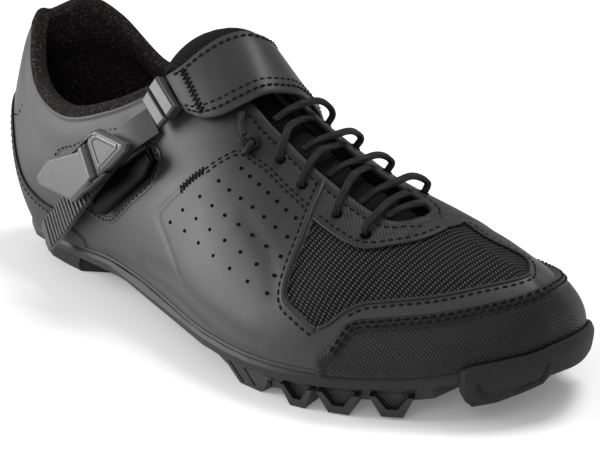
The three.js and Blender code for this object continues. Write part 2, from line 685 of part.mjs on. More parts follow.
function tongue() {
  const across = evenly(-1, 1, 8);
  const skin = (depth) => (i, j) => {
    const row = TONGUE_ROWS[i];
    const share = across[j];
    const drop = row.sag * Math.abs(share) ** 2;
    const before = TONGUE_ROWS[Math.max(0, i - 1)];
    const after = TONGUE_ROWS[Math.min(TONGUE_ROWS.length - 1, i + 1)];
    const along = place(after.x - before.x, 0, after.z - before.z).normalize();
    const sink = new THREE.Vector3(along.z, 0, -along.x);
    const point = place(row.x, row.middle + share * row.half, row.z - drop);
    return point.addScaledVector(sink, depth * row.thick * TONGUE);
  };
  return piece("tongue", sheet(TONGUE_ROWS.length, across.length, skin(0), skin(-1)), "fabric");
}

// The instep strap's two edges, from its clamp over the instep to the inner side.
// The X values are shares of LENGTH, the Y values of HALF_BALL, the Z values of INSTEP.
const STRAP_ROWS = [
  { rear: [0.399, -0.438, 0.95], front: [0.455, -0.513, 0.845] },
  { rear: [0.418, -0.37, 0.995], front: [0.484, -0.5, 0.84] },
  { rear: [0.438, -0.25, 1.035], front: [0.51, -0.45, 0.862] },
  { rear: [0.455, -0.12, 1.075], front: [0.53, -0.35, 0.9] },
  { rear: [0.466, 0.02, 1.098], front: [0.546, -0.19, 0.935] },
  { rear: [0.468, 0.13, 1.09], front: [0.553, 0.01, 0.918] },
  { rear: [0.458, 0.27, 1.05], front: [0.547, 0.17, 0.882] },
  { rear: [0.438, 0.4, 0.985], front: [0.531, 0.395, 0.79] },
  { rear: [0.42, 0.46, 0.9], front: [0.513, 0.545, 0.69] },
  { rear: [0.405, 0.54, 0.78], front: [0.495, 0.665, 0.58] },
  { rear: [0.398, 0.632, 0.65], front: [0.482, 0.745, 0.47] },
  { rear: [0.395, 0.71, 0.5], front: [0.474, 0.792, 0.36] },
];

function strap() {
  const across = evenly(0, 1, 3);
  const centre = (i, share) => {
    const row = STRAP_ROWS[Math.min(STRAP_ROWS.length - 1, Math.max(0, i))];
    return place(...row.rear.map((value, k) => mix(value, row.front[k], share)));
  };
  const skin = (lift) => (i, j) => {
    const along = centre(i + 1, across[j]).sub(centre(i - 1, across[j]));
    const width = centre(i, 1).sub(centre(i, 0));
    const out = along.cross(width).normalize();
    return centre(i, across[j]).addScaledVector(out, lift);
  };
  return piece("instep_strap", sheet(STRAP_ROWS.length, across.length, skin(0), skin(STRAP)), "leather");
}

// Frame on the outer quarter for the buckle: a runs up the ladder, c points out
const BUCKLE_SEAT = { station: 3.97, up: 0.49, lift: 0.9 };
const LADDER_RUN = new THREE.Vector3(0.78, 0, 0.62);

function buckleFrame() {
  const out = surfaceNormal(BUCKLE_SEAT.station, BUCKLE_SEAT.up);
  const run = LADDER_RUN.clone().addScaledVector(out, -LADDER_RUN.dot(out)).normalize();
  const across = out.clone().cross(run);
  const group = new THREE.Group();
  group.position.copy(offsetPoint(BUCKLE_SEAT.station, BUCKLE_SEAT.up, BUCKLE_SEAT.lift));
  group.quaternion.setFromRotationMatrix(new THREE.Matrix4().makeBasis(run, across, out));
  return group;
}

// A plate of an outline in the buckle's frame, with its edges bevelled
function bevelledPlate(outline, bottom, thickness, bevel) {
  const shape = new THREE.Shape(outline.map(([a, b]) => new THREE.Vector2(a, b)));
  const depth = thickness - 2 * bevel;
  const options = { depth, bevelEnabled: true, bevelThickness: bevel, bevelSize: bevel, bevelOffset: -bevel, bevelSegments: 1 };
  const geometry = new THREE.ExtrudeGeometry(shape, options);
  geometry.translate(0, 0, bottom + bevel);
  return geometryOf(solid(bareBox(geometry)));
}

const BASE_OUTLINE = [
  [-2.5, -11.5], [1, -13.4], [34, -12.8], [41.5, -9.5], [40, -2.8], [14, -2.4], [12, 12], [-3, 12.5], [-6, 9],
];
const REAR_LEVER_OUTLINE = [[11.4, -3.6], [11, 11], [-12.5, 18], [-23.4, 15.4], [-24, 12.2], [-5, -4.6]];
const FRONT_LEVER_OUTLINE = [[16.4, -4.2], [37, -2.6], [39.4, -0.6], [24.6, 12.8], [19.6, 14], [16, 10.6]];
const LADDER_CLEAR = LADDER + TOOTH_HEIGHT + 2 * FIT;

function buckle() {
  const group = buckleFrame();
  const deck = BASE_THICKNESS + LADDER_CLEAR;
  group.add(piece("buckle_base", bevelledPlate(BASE_OUTLINE, 0, BASE_THICKNESS, 0.8), "gloss"));
  group.add(piece("rear_lever", bevelledPlate(REAR_LEVER_OUTLINE, deck, LEVER_THICKNESS, 1.2), "lever"));
  group.add(piece("front_lever", bevelledPlate(FRONT_LEVER_OUTLINE, deck, LEVER_THICKNESS, 1.2), "lever"));
  const pin = new THREE.CylinderGeometry(PIN / 2, PIN / 2, 17, 12);
  pin.translate(13.7, 3.4, deck + LEVER_THICKNESS / 2);
  group.add(piece("lever_pin", pin, "steel"));
  return group;
}

// The toothed ladder's centre line in the buckle's frame, rear end first
const LADDER_PATH = [
  [-48.8, -1.6, -2],
  [-36, -1.8, -0.2],
  [-24, -1.8, 2],
  [-10, -1, 4.4],
  [0, 0.2, 4.9],
  [14, 2.4, 4.9],
  [24, 4.6, 3.6],
  [33, 6.4, -0.4],
  [40.6, 7.8, -4.8],
];

function ladderStrap(frame) {
  const path = new THREE.CatmullRomCurve3(LADDER_PATH.map((p) => new THREE.Vector3(...p)));
  const length = path.getLength();
  const toothed = 0.62;
  const teeth = Math.floor(length * toothed / TOOTH_PITCH);
  const lines = [{ share: 0, tooth: 0 }, { share: 3.5 / length, tooth: 0 }];
  for (let i = 0; i < teeth; i += 1) {
    const start = (4.5 + i * TOOTH_PITCH) / length;
    lines.push({ share: start, tooth: TOOTH_HEIGHT });
    lines.push({ share: start + 0.45 * TOOTH_PITCH / length, tooth: TOOTH_HEIGHT });
    lines.push({ share: start + 0.6 * TOOTH_PITCH / length, tooth: 0 });
    lines.push({ share: start + 0.9 * TOOTH_PITCH / length, tooth: 0 });
  }
  for (const share of [0.75, 0.84, 0.92, 1]) lines.push({ share, tooth: 0 });
  const skin = (top) => (i, j) => {
    const { share, tooth } = lines[i];
    const point = path.getPointAt(share);
    const along = path.getTangentAt(share);
    const out = new THREE.Vector3(0, 0, 1).addScaledVector(along, -along.z).normalize();
    const across = out.clone().cross(along);
    point.addScaledVector(across, (j - 0.5) * LADDER_WIDTH);
    return point.addScaledVector(out, top ? LADDER / 2 + tooth : -LADDER / 2);
  };
  const geometry = sheet(lines.length, 2, skin(true), skin(false));
  const mesh = piece("ladder_strap", geometry, "nylon");
  frame.add(mesh);
}

// The clamp that grips the strap's outer end and the ladder's upper end
const CLAMP_CENTRE = [0.409, -0.49, 0.845];
const CLAMP_RUN = new THREE.Vector3(0.54, 0.27, 0.8);
const CLAMP_ACROSS = new THREE.Vector3(-0.84, 0.18, 0.51);
const CLAMP_WIDTH = 17;

function strapClamp() {
  const across = CLAMP_ACROSS.clone().normalize();
  const run = CLAMP_RUN.clone().addScaledVector(across, -CLAMP_RUN.dot(across)).normalize();
  const group = new THREE.Group();
  group.position.copy(place(...CLAMP_CENTRE));
  group.quaternion.setFromRotationMatrix(new THREE.Matrix4().makeBasis(run, across, run.clone().cross(across)));
  const half = CLAMP_WIDTH / 2;
  const upperOutline = [[0.4, -half], [6.4, -half], [6.4, half], [0.4, half]];
  const lowerOutline = [[-5.6, -half + 1], [0, -half + 0.4], [0, half - 0.4], [-5.6, half - 1]];
  group.add(piece("strap_clamp", bevelledPlate(upperOutline, -0.6, 5.4, 0.7), "lever"));
  group.add(piece("clamp_slider", bevelledPlate(lowerOutline, 1.3, 3.4, 0.7), "lever"));
  return group;
}

// The lace's bars over the throat, as routes chosen by eye in millimetres
const LACE_BARS = {
  lace_outer_1: [
    [175.6, -19.6, 73.9], [176.2, -20, 76.8], [174.6, -16.5, 80.2], [170.5, -10, 82.8], [166, -1, 82], [163.9, 4.6, 81.2], [163.4, 8.4, 79.8],
  ],
  lace_outer_2: [
    [187.9, -20.6, 67.2], [188.4, -20.6, 70], [187.5, -16.5, 73.4], [184.7, -8, 76], [182, 0, 75], [179.6, 5.5, 73.8], [178.7, 9, 72.2],
  ],
  lace_outer_3: [
    [205.9, -20.8, 60.6], [206.3, -20.8, 63.2], [204.8, -16.5, 66.4], [201, -8, 69.8], [197.2, 0, 69.4], [194.2, 5.5, 68.2], [192.7, 9, 66.6],
  ],
  lace_outer_4: [
    [219.6, -20.5, 57.1], [220.3, -20.6, 59.4], [220.2, -16, 61.8], [218.5, -8, 63.9], [215.8, 0, 63.7], [213.5, 5.5, 62.8], [212, 9, 61.3],
  ],
  lace_inner_1: [
    [162.5, -10, 83.6], [163, -4, 86], [163.5, 4, 87.2], [162.6, 12, 86.2], [161.8, 17.8, 83], [161.9, 20, 79.2], [161.3, 18.5, 76.1],
  ],
  lace_inner_2: [
    [177.5, -10, 75.4], [179.5, -4, 77.9], [180.8, 4, 78.7], [179, 12, 77.7], [177.2, 17.8, 75.2], [177, 20, 72.4], [176.2, 18.6, 70],
  ],
  lace_inner_3: [
    [190.6, -10, 68.3], [193, -4, 71.4], [195, 4, 72.4], [193.4, 12, 71.5], [192.6, 17.8, 69.2], [192.6, 20.6, 66.3], [192, 19.3, 63.8],
  ],
  lace_inner_4: [
    [206.8, -10, 61.6], [209.5, -4, 65.5], [211.5, 4, 67.4], [210.6, 12, 67.2], [209.8, 18.2, 64.8], [209.6, 22, 61.8], [209.2, 20.9, 59],
  ],
  lace_toe_bar: [[219.6, -9, 59.7], [221, -4, 61.3], [221.2, 3, 61.4], [220, 8, 60.2]],
};

function cordTube(points, steps, sides) {
  const route = new THREE.CatmullRomCurve3(points.map((p) => new THREE.Vector3(...p)));
  const corner = (k) => {
    const angle = (2 * Math.PI * k) / sides;
    return new THREE.Vector2(Math.cos(angle) * LACE / 2, Math.sin(angle) * LACE / 2);
  };
  const section = new THREE.Shape(Array.from({ length: sides }, (_, k) => corner(k)));
  const tube = new THREE.ExtrudeGeometry(section, { steps, extrudePath: route, bevelEnabled: false });
  return geometryOf(solid(bareBox(tube)));
}

// The lace's end hangs on the outer quarter in a stopper knot
const LACE_END = [[153.7, -18.6, 86.9], [155.6, -20.3, 84.9], [158.2, -22.4, 82.2]];
const KNOT = { station: 6.8, up: 0.868, radius: 2.5, cord: 1.9 };

function laces() {
  const group = new THREE.Group();
  for (const [name, points] of Object.entries(LACE_BARS)) {
    group.add(piece(name, cordTube(points, LACE_STEPS, 8), "lace"));
  }
  group.add(piece("lace_end", cordTube(LACE_END, 4, 8), "lace"));
  const ring = Array.from({ length: 9 }, (_, k) => {
    const angle = (2 * Math.PI * k) / 8;
    return new THREE.Vector2(KNOT.radius + Math.cos(angle) * KNOT.cord, Math.sin(angle) * KNOT.cord);
  });
  const knot = piece("lace_knot", geometryOf(solid(bareBox(new THREE.LatheGeometry(ring, 12)))), "lace");
  const normal = surfaceNormal(KNOT.station, KNOT.up);
  knot.position.copy(offsetPoint(KNOT.station, KNOT.up, KNOT.cord + FIT));
  knot.quaternion.setFromUnitVectors(new THREE.Vector3(0, 1, 0), normal);
  group.add(knot);
  return group;
}

// A short webbing loop stitched to the back of the heel
function pullLoop() {
  const at = (up, out) => offsetPoint(0, up, out);
  const width = 12;
  const line = [at(0.56, FIT), at(0.6, 2.4), at(0.66, 4), at(0.72, 3.2), at(0.76, FIT)];
  const skin = (thick) => (i, j) => {
    const before = line[Math.max(0, i - 1)];
    const after = line[Math.min(line.length - 1, i + 1)];
    const along = after.clone().sub(before).normalize();
    const out = new THREE.Vector3(-along.z, 0, along.x);
    const point = line[i].clone().addScaledVector(out, thick);
    point.y += (j - 0.5) * width;
    return point;
  };
  return piece("heel_loop", sheet(line.length, 2, skin(0), skin(1.2)), "fabric");
}

const shoe = new THREE.Group();
shoe.position.x = -HEEL_CENTRE;
const buckleGroup = buckle();
ladderStrap(buckleGroup);
shoe.add(
  solePlate(), heelTread(), forefootTread(), toeBumper(), insole(), upper(), toeCap(),
  heelCounter(), tongue(), strap(), buckleGroup, strapClamp(), laces(), pullLoop(),
);

export default shoe;
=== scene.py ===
import bmesh
import bpy
import numpy as np
from mathutils import Matrix


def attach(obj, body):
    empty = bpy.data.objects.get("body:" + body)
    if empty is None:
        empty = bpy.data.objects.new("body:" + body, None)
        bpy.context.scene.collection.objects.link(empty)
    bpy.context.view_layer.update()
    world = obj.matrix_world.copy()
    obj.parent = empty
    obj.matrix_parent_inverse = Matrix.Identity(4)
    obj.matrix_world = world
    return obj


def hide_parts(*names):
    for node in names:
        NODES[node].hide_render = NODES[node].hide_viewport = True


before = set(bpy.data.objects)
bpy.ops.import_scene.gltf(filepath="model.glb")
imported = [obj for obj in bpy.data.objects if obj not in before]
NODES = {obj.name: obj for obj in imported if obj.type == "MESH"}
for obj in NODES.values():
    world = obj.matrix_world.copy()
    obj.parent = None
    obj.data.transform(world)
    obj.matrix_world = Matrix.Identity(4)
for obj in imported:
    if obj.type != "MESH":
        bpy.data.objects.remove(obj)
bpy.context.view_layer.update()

MM = 0.001
UP = np.array([0.0, 0.0, 1.0])
TURN = 2 * np.pi


# Camera

def stand_camera():
    """A long lens at the photograph's angle: columns of the turn are right, up and back."""
    data = bpy.data.cameras.new("camera")
    data.lens = 109.6
    data.sensor_width = 36
    data.clip_start = 0.02
    data.clip_end = 50
    camera = bpy.data.objects.new("camera", data)
    right, up, back = (0.6796, 0.7330, -0.0283), (-0.2346, 0.2537, 0.9384), (0.6950, -0.6311, 0.3444)
    turn = Matrix((right, up, back)).transposed().to_4x4()
    camera.matrix_world = Matrix.Translation((0.6086, -0.4387, 0.2792)) @ turn
    bpy.context.scene.collection.objects.link(camera)
    bpy.context.scene.camera = camera


stand_camera()


# Small maths

def unit(v):
    """v divided by its own length."""
    return v / np.maximum(np.linalg.norm(v, axis=-1, keepdims=True), 1e-12)


def smooth(low, high, value):
    """0 below low, 1 above high, and an S curve between."""
    t = np.clip((value - low) / (high - low), 0, 1)
    return t * t * (3 - 2 * t)


def curve_at(points, t, closed=False):
    """Catmull-Rom curve through points, at t counted in points."""
    points = np.asarray(points, float)
    t = np.asarray(t, float)
    count = len(points)
    if closed:
        whole = np.floor(t).astype(int)
        rows = [points[(whole + k) % count] for k in (-1, 0, 1, 2)]
    else:
        whole = np.clip(np.floor(t).astype(int), 0, count - 2)
        padded = np.concatenate([2 * points[:1] - points[1:2], points, 2 * points[-1:] - points[-2:-1]])
        rows = [padded[whole + k] for k in range(4)]
    a, b, c, d = rows
    f = (t - whole).reshape(t.shape + (1,) * (points.ndim - 1))
    return 0.5 * (2 * b + (c - a) * f + (2 * a - 5 * b + 4 * c - d) * f**2 + (3 * b - a - 3 * c + d) * f**3)


def run_along(points):
    """Distance along a polyline at each of its points."""
    return np.concatenate([[0], np.cumsum(np.linalg.norm(np.diff(points, axis=0), axis=1))])


def between(at, known, values):
    """Rows of values at places between known ones, straight between them."""
    return np.stack([np.interp(at, known, values[:, k]) for k in range(values.shape[1])], -1)


def drawn(points, count):
    """A smooth curve through points, as count points."""
    return curve_at(points, np.linspace(0, len(points) - 1, count))


def spaced(points, step, values=None):
    """Points along a polyline at even steps, or values kept at its points, with the distance along it."""
    run = run_along(points)
    at = np.linspace(0, run[-1], max(2, int(round(run[-1] / step)) + 1))
    return between(at, run, points if values is None else values), at


def distance_to(points, line):
    """Least distance from each point to a polyline, taken one stretch of the line at a time."""
    best = np.full(points.shape[:-1], 1e9)
    for a, b in zip(line[:-1], line[1:]):
        ab = b - a
        t = np.clip(((points - a) @ ab) / max(ab @ ab, 1e-18), 0, 1)
        best = np.minimum(best, np.linalg.norm(points - a - t[..., None] * ab, axis=-1))
    return best


def table_at(table, x, column):
    """A column of a table of rows (x, ...) at x, straight between rows."""
    table = np.asarray(table, float)
    return np.interp(x, table[:, 0], table[:, column])


# The upper's surface: arches round the foot from the heel's back over the outer side to the toe

LENGTH, HALF_BALL, INSTEP, HEEL_CENTRE = 290 * MM, 54 * MM, 100 * MM, 38 * MM
SHIFT = np.array([HEEL_CENTRE, 0, 0])
WALL, COLLAR_PAD = 2.2 * MM, 6 * MM
STITCH, STITCH_GAP, THREAD_RADIUS = 2.2 * MM, 0.75 * MM, 0.4 * MM
RIDGE_SLOPE, THROAT_END, TOE_STATION = 0.27, 10, 14
# Points of the flat pattern: columns to a station, and rows
CLOTH_STEPS, CLOTH_ROWS = 20, 80
# Columns: foot x and y, top x, y and z, then bulge, lift, shoulder and drop
ARCHES = np.array([
    [0.026, 0.0, 0.031, 0.0, 0.985, 0.2, 0.26, 0.31, 0.36],
    [0.047, -0.33, 0.041, -0.19, 0.98, 0.2, 0.26, 0.31, 0.36],
    [0.105, -0.55, 0.1, -0.43, 0.77, 0.16, 0.24, 0.16, 0.24],
    [0.21, -0.61, 0.2, -0.57, 0.705, 0.15, 0.22, 0.08, 0.18],
    [0.31, -0.67, 0.3, -0.54, 0.78, 0.12, 0.24, 0.1, 0.2],
    [0.41, -0.79, 0.4, -0.4, 0.91, 0.1, 0.26, 0.2, 0.24],
    [0.5, -0.92, 0.49, -0.265, 0.93, 0.06, 0.26, 0.32, 0.2],
    [0.59, -1.03, 0.575, -0.265, 0.812, 0.04, 0.22, 0.4, 0.16],
    [0.68, -1.06, 0.66, -0.26, 0.685, 0.03, 0.2, 0.44, 0.12],
    [0.755, -0.99, 0.758, -0.25, 0.588, 0.03, 0.19, 0.46, 0.06],
    [0.82, -0.84, 0.785, 0.0, 0.583, 0.04, 0.18, 0.46, 0.0],
    [0.88, -0.62, 0.802, 0.0, 0.576, 0.05, 0.17, 0.44, 0.0],
    [0.927, -0.4, 0.82, 0.0, 0.565, 0.05, 0.17, 0.4, 0.0],
    [0.967, -0.15, 0.842, 0.0, 0.55, 0.05, 0.18, 0.36, 0.0],
    [0.984, 0.1, 0.866, 0.0, 0.535, 0.03, 0.2, 0.3, -0.01],
    [0.977, 0.34, 0.842, 0.0, 0.55, 0.03, 0.18, 0.34, 0.0],
    [0.95, 0.56, 0.82, 0.0, 0.565, 0.04, 0.17, 0.4, 0.0],
    [0.9, 0.74, 0.802, 0.0, 0.576, 0.05, 0.17, 0.44, 0.0],
    [0.83, 0.86, 0.785, 0.0, 0.583, 0.04, 0.18, 0.46, 0.0],
    [0.755, 0.9, 0.758, 0.18, 0.588, 0.03, 0.19, 0.46, 0.06],
    [0.68, 0.9, 0.66, 0.19, 0.675, 0.03, 0.2, 0.44, 0.12],
    [0.59, 0.86, 0.575, 0.19, 0.79, 0.04, 0.22, 0.4, 0.16],
    [0.5, 0.76, 0.49, 0.19, 0.905, 0.06, 0.26, 0.32, 0.2],
    [0.41, 0.66, 0.4, 0.36, 0.91, 0.1, 0.26, 0.2, 0.24],
    [0.31, 0.61, 0.3, 0.5, 0.81, 0.12, 0.24, 0.1, 0.2],
    [0.21, 0.6, 0.18, 0.55, 0.76, 0.14, 0.22, 0.08, 0.18],
    [0.105, 0.54, 0.102, 0.42, 0.95, 0.16, 0.24, 0.14, 0.26],
    [0.047, 0.33, 0.062, 0.25, 1.025, 0.2, 0.26, 0.26, 0.36],
])
STATIONS = len(ARCHES)
# The sole's rim line: x as a share of the length, height as a share of the instep
RIM_LINE = np.array([
    [0.0, 0.17], [0.1, 0.152], [0.22, 0.15], [0.34, 0.17], [0.46, 0.172],
    [0.58, 0.155], [0.7, 0.145], [0.8, 0.155], [0.9, 0.185], [1.0, 0.27],
])


def rim_height(x):
    """The rim line's height at x from the heel's back, as a Hermite curve with averaged slopes."""
    share = np.asarray(x) / LENGTH
    at, height = RIM_LINE.T
    slopes = np.gradient(height, at)
    slopes[1:-1] = (height[2:] - height[:-2]) / (at[2:] - at[:-2])
    k = np.clip(np.searchsorted(at, share, side="right") - 1, 0, len(at) - 2)
    width = at[k + 1] - at[k]
    t = np.clip((share - at[k]) / width, 0, 1)
    ends = (2 * t**3 - 3 * t**2 + 1) * height[k] + (3 * t**2 - 2 * t**3) * height[k + 1]
    bend = (t**3 - 2 * t**2 + t) * slopes[k] + (t**3 - t**2) * slopes[k + 1]
    return INSTEP * (ends + width * bend)


def surface(station, up):
    """The foot's cubic Bezier arch at a station, share up from the rim to the top line."""
    station, up = np.broadcast_arrays(np.asarray(station, float) % STATIONS, np.asarray(up, float))
    mirrored = np.minimum(station, STATIONS - station)
    ridge = mirrored >= THROAT_END
    arch = curve_at(ARCHES, station, closed=True)
    crown = np.where(ridge[..., None], curve_at(ARCHES, mirrored, closed=True), arch)
    side = np.where(station < TOE_STATION, -1.0, 1.0)
    opening = np.where(ridge, 0, np.maximum(0, side * arch[..., 3]))
    middle = 0.04 * smooth(0.6, 0.78, crown[..., 2]) + 0.04 * smooth(0.76, 0.88, crown[..., 2])
    foot = np.stack([arch[..., 0] * LENGTH, arch[..., 1] * HALF_BALL, rim_height(arch[..., 0] * LENGTH)],
                    -1)
    top_y = (side * opening + middle) * HALF_BALL
    top = np.stack([crown[..., 2] * LENGTH, top_y, crown[..., 4] * INSTEP], -1)
    flat = np.array([1, 1, 0])
    across = unit((foot - top) * flat)
    heel = np.maximum(foot[..., :1], HEEL_CENTRE) * np.array([1, 0, 0])
    share = 1 - smooth(0.27, 0.42, arch[..., :1])
    out = unit(across * (1 - share) + unit((foot - heel) * flat) * share)
    low = foot + out * arch[..., 5:6] * HALF_BALL + UP * arch[..., 6:7] * INSTEP
    reach = arch[..., 7:8] * HALF_BALL
    slope = RIDGE_SLOPE * smooth(THROAT_END - 0.5, THROAT_END, mirrored)[..., None] * out[..., :1] * reach
    high = top + out * reach - UP * (arch[..., 8:9] * INSTEP + slope)
    t = up[..., None]
    point = (1 - t)**3 * foot + 3 * (1 - t)**2 * t * low + 3 * (1 - t) * t * t * high + t**3 * top
    return point - SHIFT


def surface_normal(station, up):
    """The surface's outward direction: its way along the outline crossed with its way up."""
    h = 0.01
    at = np.clip(up, h, 1 - h)
    along = surface(station + h, at) - surface(station - h, at)
    return unit(np.cross(along, surface(station, at + h) - surface(station, at - h)))


def lifted(station, up, out):
    """The surface moved outwards by a distance."""
    out = np.asarray(out, float)[..., None] if np.ndim(out) else out
    return surface(station, up) + surface_normal(station, up) * out


def cloth_table():
    """The surface laid flat: from each arch's top down, plan steps stretched to their slope's length."""
    station = np.linspace(0, STATIONS, STATIONS * CLOTH_STEPS + 1)[:, None]
    up = np.linspace(1, 0, CLOTH_ROWS + 1)[None, :]
    points = surface(np.where(station >= STATIONS, 0, station), up)
    step = np.diff(points, axis=1)
    plan = np.linalg.norm(step[..., :2], axis=-1, keepdims=True)
    stretch = np.linalg.norm(step, axis=-1, keepdims=True) / np.maximum(plan, 1e-7)
    laid = np.minimum(stretch, 40) * step[..., :2]
    return np.concatenate([points[:, :1, :2], points[:, :1, :2] + np.cumsum(laid, axis=1)], axis=1)


CLOTH = cloth_table()


def cloth(station, up):
    """Flat pattern coordinates in metres of places on the surface, straight between the table's points."""
    i = (np.asarray(station, float) % STATIONS) * CLOTH_STEPS
    j = (1 - np.clip(up, 0, 1)) * CLOTH_ROWS
    i0 = np.clip(np.floor(i).astype(int), 0, STATIONS * CLOTH_STEPS - 1)
    j0 = np.clip(np.floor(j).astype(int), 0, CLOTH_ROWS - 1)
    fi, fj = (i - i0)[..., None], (j - j0)[..., None]
    near = CLOTH[i0, j0] * (1 - fi) + CLOTH[i0 + 1, j0] * fi
    far = CLOTH[i0, j0 + 1] * (1 - fi) + CLOTH[i0 + 1, j0 + 1] * fi
    flat = near * (1 - fj) + far * fj
    return np.concatenate([flat, np.zeros(flat.shape[:-1] + (1,))], -1)


def route(places, step, out=0.0):
    """A smooth line over the surface through (station, up) places: its points, outward directions and
    distance along."""
    fine = drawn(places, 40 * len(places))
    even, at = spaced(surface(*fine.T), step, fine)
    normal = surface_normal(*even.T)
    return surface(*even.T) + normal * out, normal, at


# Making meshes from arrays

def grid_faces(rows, columns, wrap_rows=False, wrap_columns=False, start=0):
    """Four-cornered faces of a grid of points stored row by row, each cell once."""
    i = np.arange(rows if wrap_rows else rows - 1)[:, None]
    j = np.arange(columns if wrap_columns else columns - 1)[None, :]
    next_i, next_j = (i + 1) % rows, (j + 1) % columns
    corners = [i * columns + j, next_i * columns + j, next_i * columns + next_j, i * columns + next_j]
    return start + np.stack([c + 0 * i + 0 * j for c in corners], -1).reshape(-1, 4)


def made(name, points, faces, finish, slot, stands_for=(), values=None):
    """A piece from an array of points and arrays of faces, with values kept at its points."""
    mesh = bpy.data.meshes.new(name)
    points = np.asarray(points, np.float32).reshape(-1, 3)
    faces = faces if isinstance(faces, list) else [faces]
    corners = np.concatenate([f.ravel() for f in faces]).astype(np.int32)
    sizes = np.concatenate([np.full(len(f), f.shape[1]) for f in faces]).astype(np.int32)
    mesh.vertices.add(len(points))
    mesh.vertices.foreach_set("co", points.ravel())
    mesh.loops.add(len(corners))
    mesh.loops.foreach_set("vertex_index", corners)
    mesh.polygons.add(len(sizes))
    mesh.polygons.foreach_set("loop_start", (np.cumsum(sizes) - sizes).astype(np.int32))
    mesh.polygons.foreach_set("loop_total", sizes)
    for key, value in (values or {}).items():
        value = np.asarray(value, np.float32)
        vector = value.ndim > 1
        layer = mesh.attributes.new(key, "FLOAT_VECTOR" if vector else "FLOAT", "POINT")
        layer.data.foreach_set("vector" if vector else "value", value.ravel())
    mesh.update(calc_edges=True)
    mesh.validate()
    mesh.polygons.foreach_set("use_smooth", np.ones(len(mesh.polygons), bool))
    return placed(name, mesh, finish, stands_for)


def placed(name, mesh, finish, stands_for=()):
    """Puts a mesh into the scene as a piece on the shoe, in its finish."""
    mesh.materials.clear()
    mesh.materials.append(finish)
    piece = bpy.data.objects.new(name, mesh)
    bpy.context.scene.collection.objects.link(piece)
    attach(piece, "root")
    if stands_for:
        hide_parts(*stands_for)
    return piece


def lofted(rings):
    """Closed rings of equal count joined in order, each end closed by a fan to its middle."""
    count, width = rings.shape[:2]
    points = np.concatenate([rings.reshape(-1, 3), [rings[0].mean(0), rings[-1].mean(0)]])
    k, last = np.arange(width), (count - 1) * width
    head = np.stack([k, (k + 1) % width, np.full(width, count * width)], -1)
    tail = np.stack([last + (k + 1) % width, last + k, np.full(width, count * width + 1)], -1)
    return points, [grid_faces(count, width, wrap_columns=True), head, tail]


def carried(path, section, top, ends=0.45):
    """A closed section carried along a path. Each ring is the section's across share along the side
    direction plus its out share along the top direction; both ends close in a few shrinking rings.
    Kept at each point: the distance along, and the share of a turn round the section."""
    tangent = unit(np.gradient(path, axis=0))
    side = unit(np.cross(tangent, top))
    over = unit(np.cross(side, tangent))
    rings = path[:, None] + section[None, :, :1] * side[:, None] + section[None, :, 1:] * over[:, None]
    middle = rings.mean(axis=1, keepdims=True)
    radius = np.linalg.norm(section, axis=1).max()
    head, tail = [], []
    for share, back in ((0.25, 1.0), (0.7, 0.72), (0.93, 0.32)):
        head.append(middle[0] + (rings[0] - middle[0]) * share - tangent[0] * radius * ends * back)
        tail.append(middle[-1] + (rings[-1] - middle[-1]) * share + tangent[-1] * radius * ends * back)
    rings = np.concatenate([np.array(head), rings, np.array(tail[::-1])])
    count, width = rings.shape[:2]
    run = run_along(path)
    along = np.repeat(np.concatenate([[run[0]] * 3, run, [run[-1]] * 3]), width)
    kept = np.stack([along, np.tile(np.arange(width) / width, count), 0 * along], -1)
    return *lofted(rings), np.concatenate([kept, [[run[0], 0, 0], [run[-1], 0, 0]]])


def joined(parts):
    """Several sets of points and faces as one, with each face's numbers moved on."""
    starts = np.cumsum([0] + [len(part[0]) for part in parts])
    faces = [f + start for part, start in zip(parts, starts) for f in part[1]]
    return np.concatenate([part[0] for part in parts]), faces


def oval(across, out, count=12, groove=0.0):
    """A section that is an ellipse, with a soft groove pressed into its outer side."""
    angle = np.arange(count) / count * TURN - np.pi / 2
    press = 1 - groove * np.exp(-((angle - np.pi / 2) / 0.42) ** 2)
    return np.stack([across * np.cos(angle), out * np.sin(angle) * press], -1)


def repeated(shape, faces, centres, forward, out):
    """One small shape set down many times: its x along forward, z along out, y across."""
    forward = unit(forward)
    side = unit(np.cross(out, forward))
    up = unit(np.cross(forward, side))
    frames = np.stack([forward, side, up], 1)
    points = centres[:, None] + np.einsum("vk,nkc->nvc", shape, frames)
    starts = np.arange(len(centres))[:, None, None] * len(shape)
    return points.reshape(-1, 3), [(f[None] + starts).reshape(-1, f.shape[1]) for f in faces]


def stitch_shape():
    """A thread's bead: five rings along x, thinner and lower at its ends."""
    at = np.array([-0.5, -0.4, 0.0, 0.4, 0.5])[:, None]
    wide = np.array([0.3, 0.85, 1.0, 0.85, 0.3])[:, None]
    drop = np.array([-1.3, -0.45, 0.0, -0.45, -1.3])[:, None]
    k = np.arange(6)
    angle = k / 6 * TURN
    x = np.repeat(at * STITCH, 6, 1)
    y = wide * THREAD_RADIUS * np.cos(angle)
    z = wide * THREAD_RADIUS * np.sin(angle) * 0.8 + drop * THREAD_RADIUS
    shape = np.stack([x, y, z], -1).reshape(-1, 3)
    return shape, [grid_faces(5, 6, wrap_columns=True)[:, ::-1], k[None, ::-1], (k + 24)[None]]


def stitched(lines):
    """Rows of stitches on lines of (points, outward directions, distance along)."""
    centres, forward, out = [], [], []
    for points, normal, run in lines:
        count = max(1, int(run[-1] / (STITCH + STITCH_GAP)))
        middle = (np.arange(count) + 0.5) * run[-1] / count
        centres.append(between(middle, run, points))
        ends = [between(middle + half, run, points) for half in (-STITCH / 2, STITCH / 2)]
        forward.append(ends[1] - ends[0])
        out.append(between(middle, run, normal))
    return repeated(*stitch_shape(), *map(np.concatenate, (centres, forward, out)))


# Materials

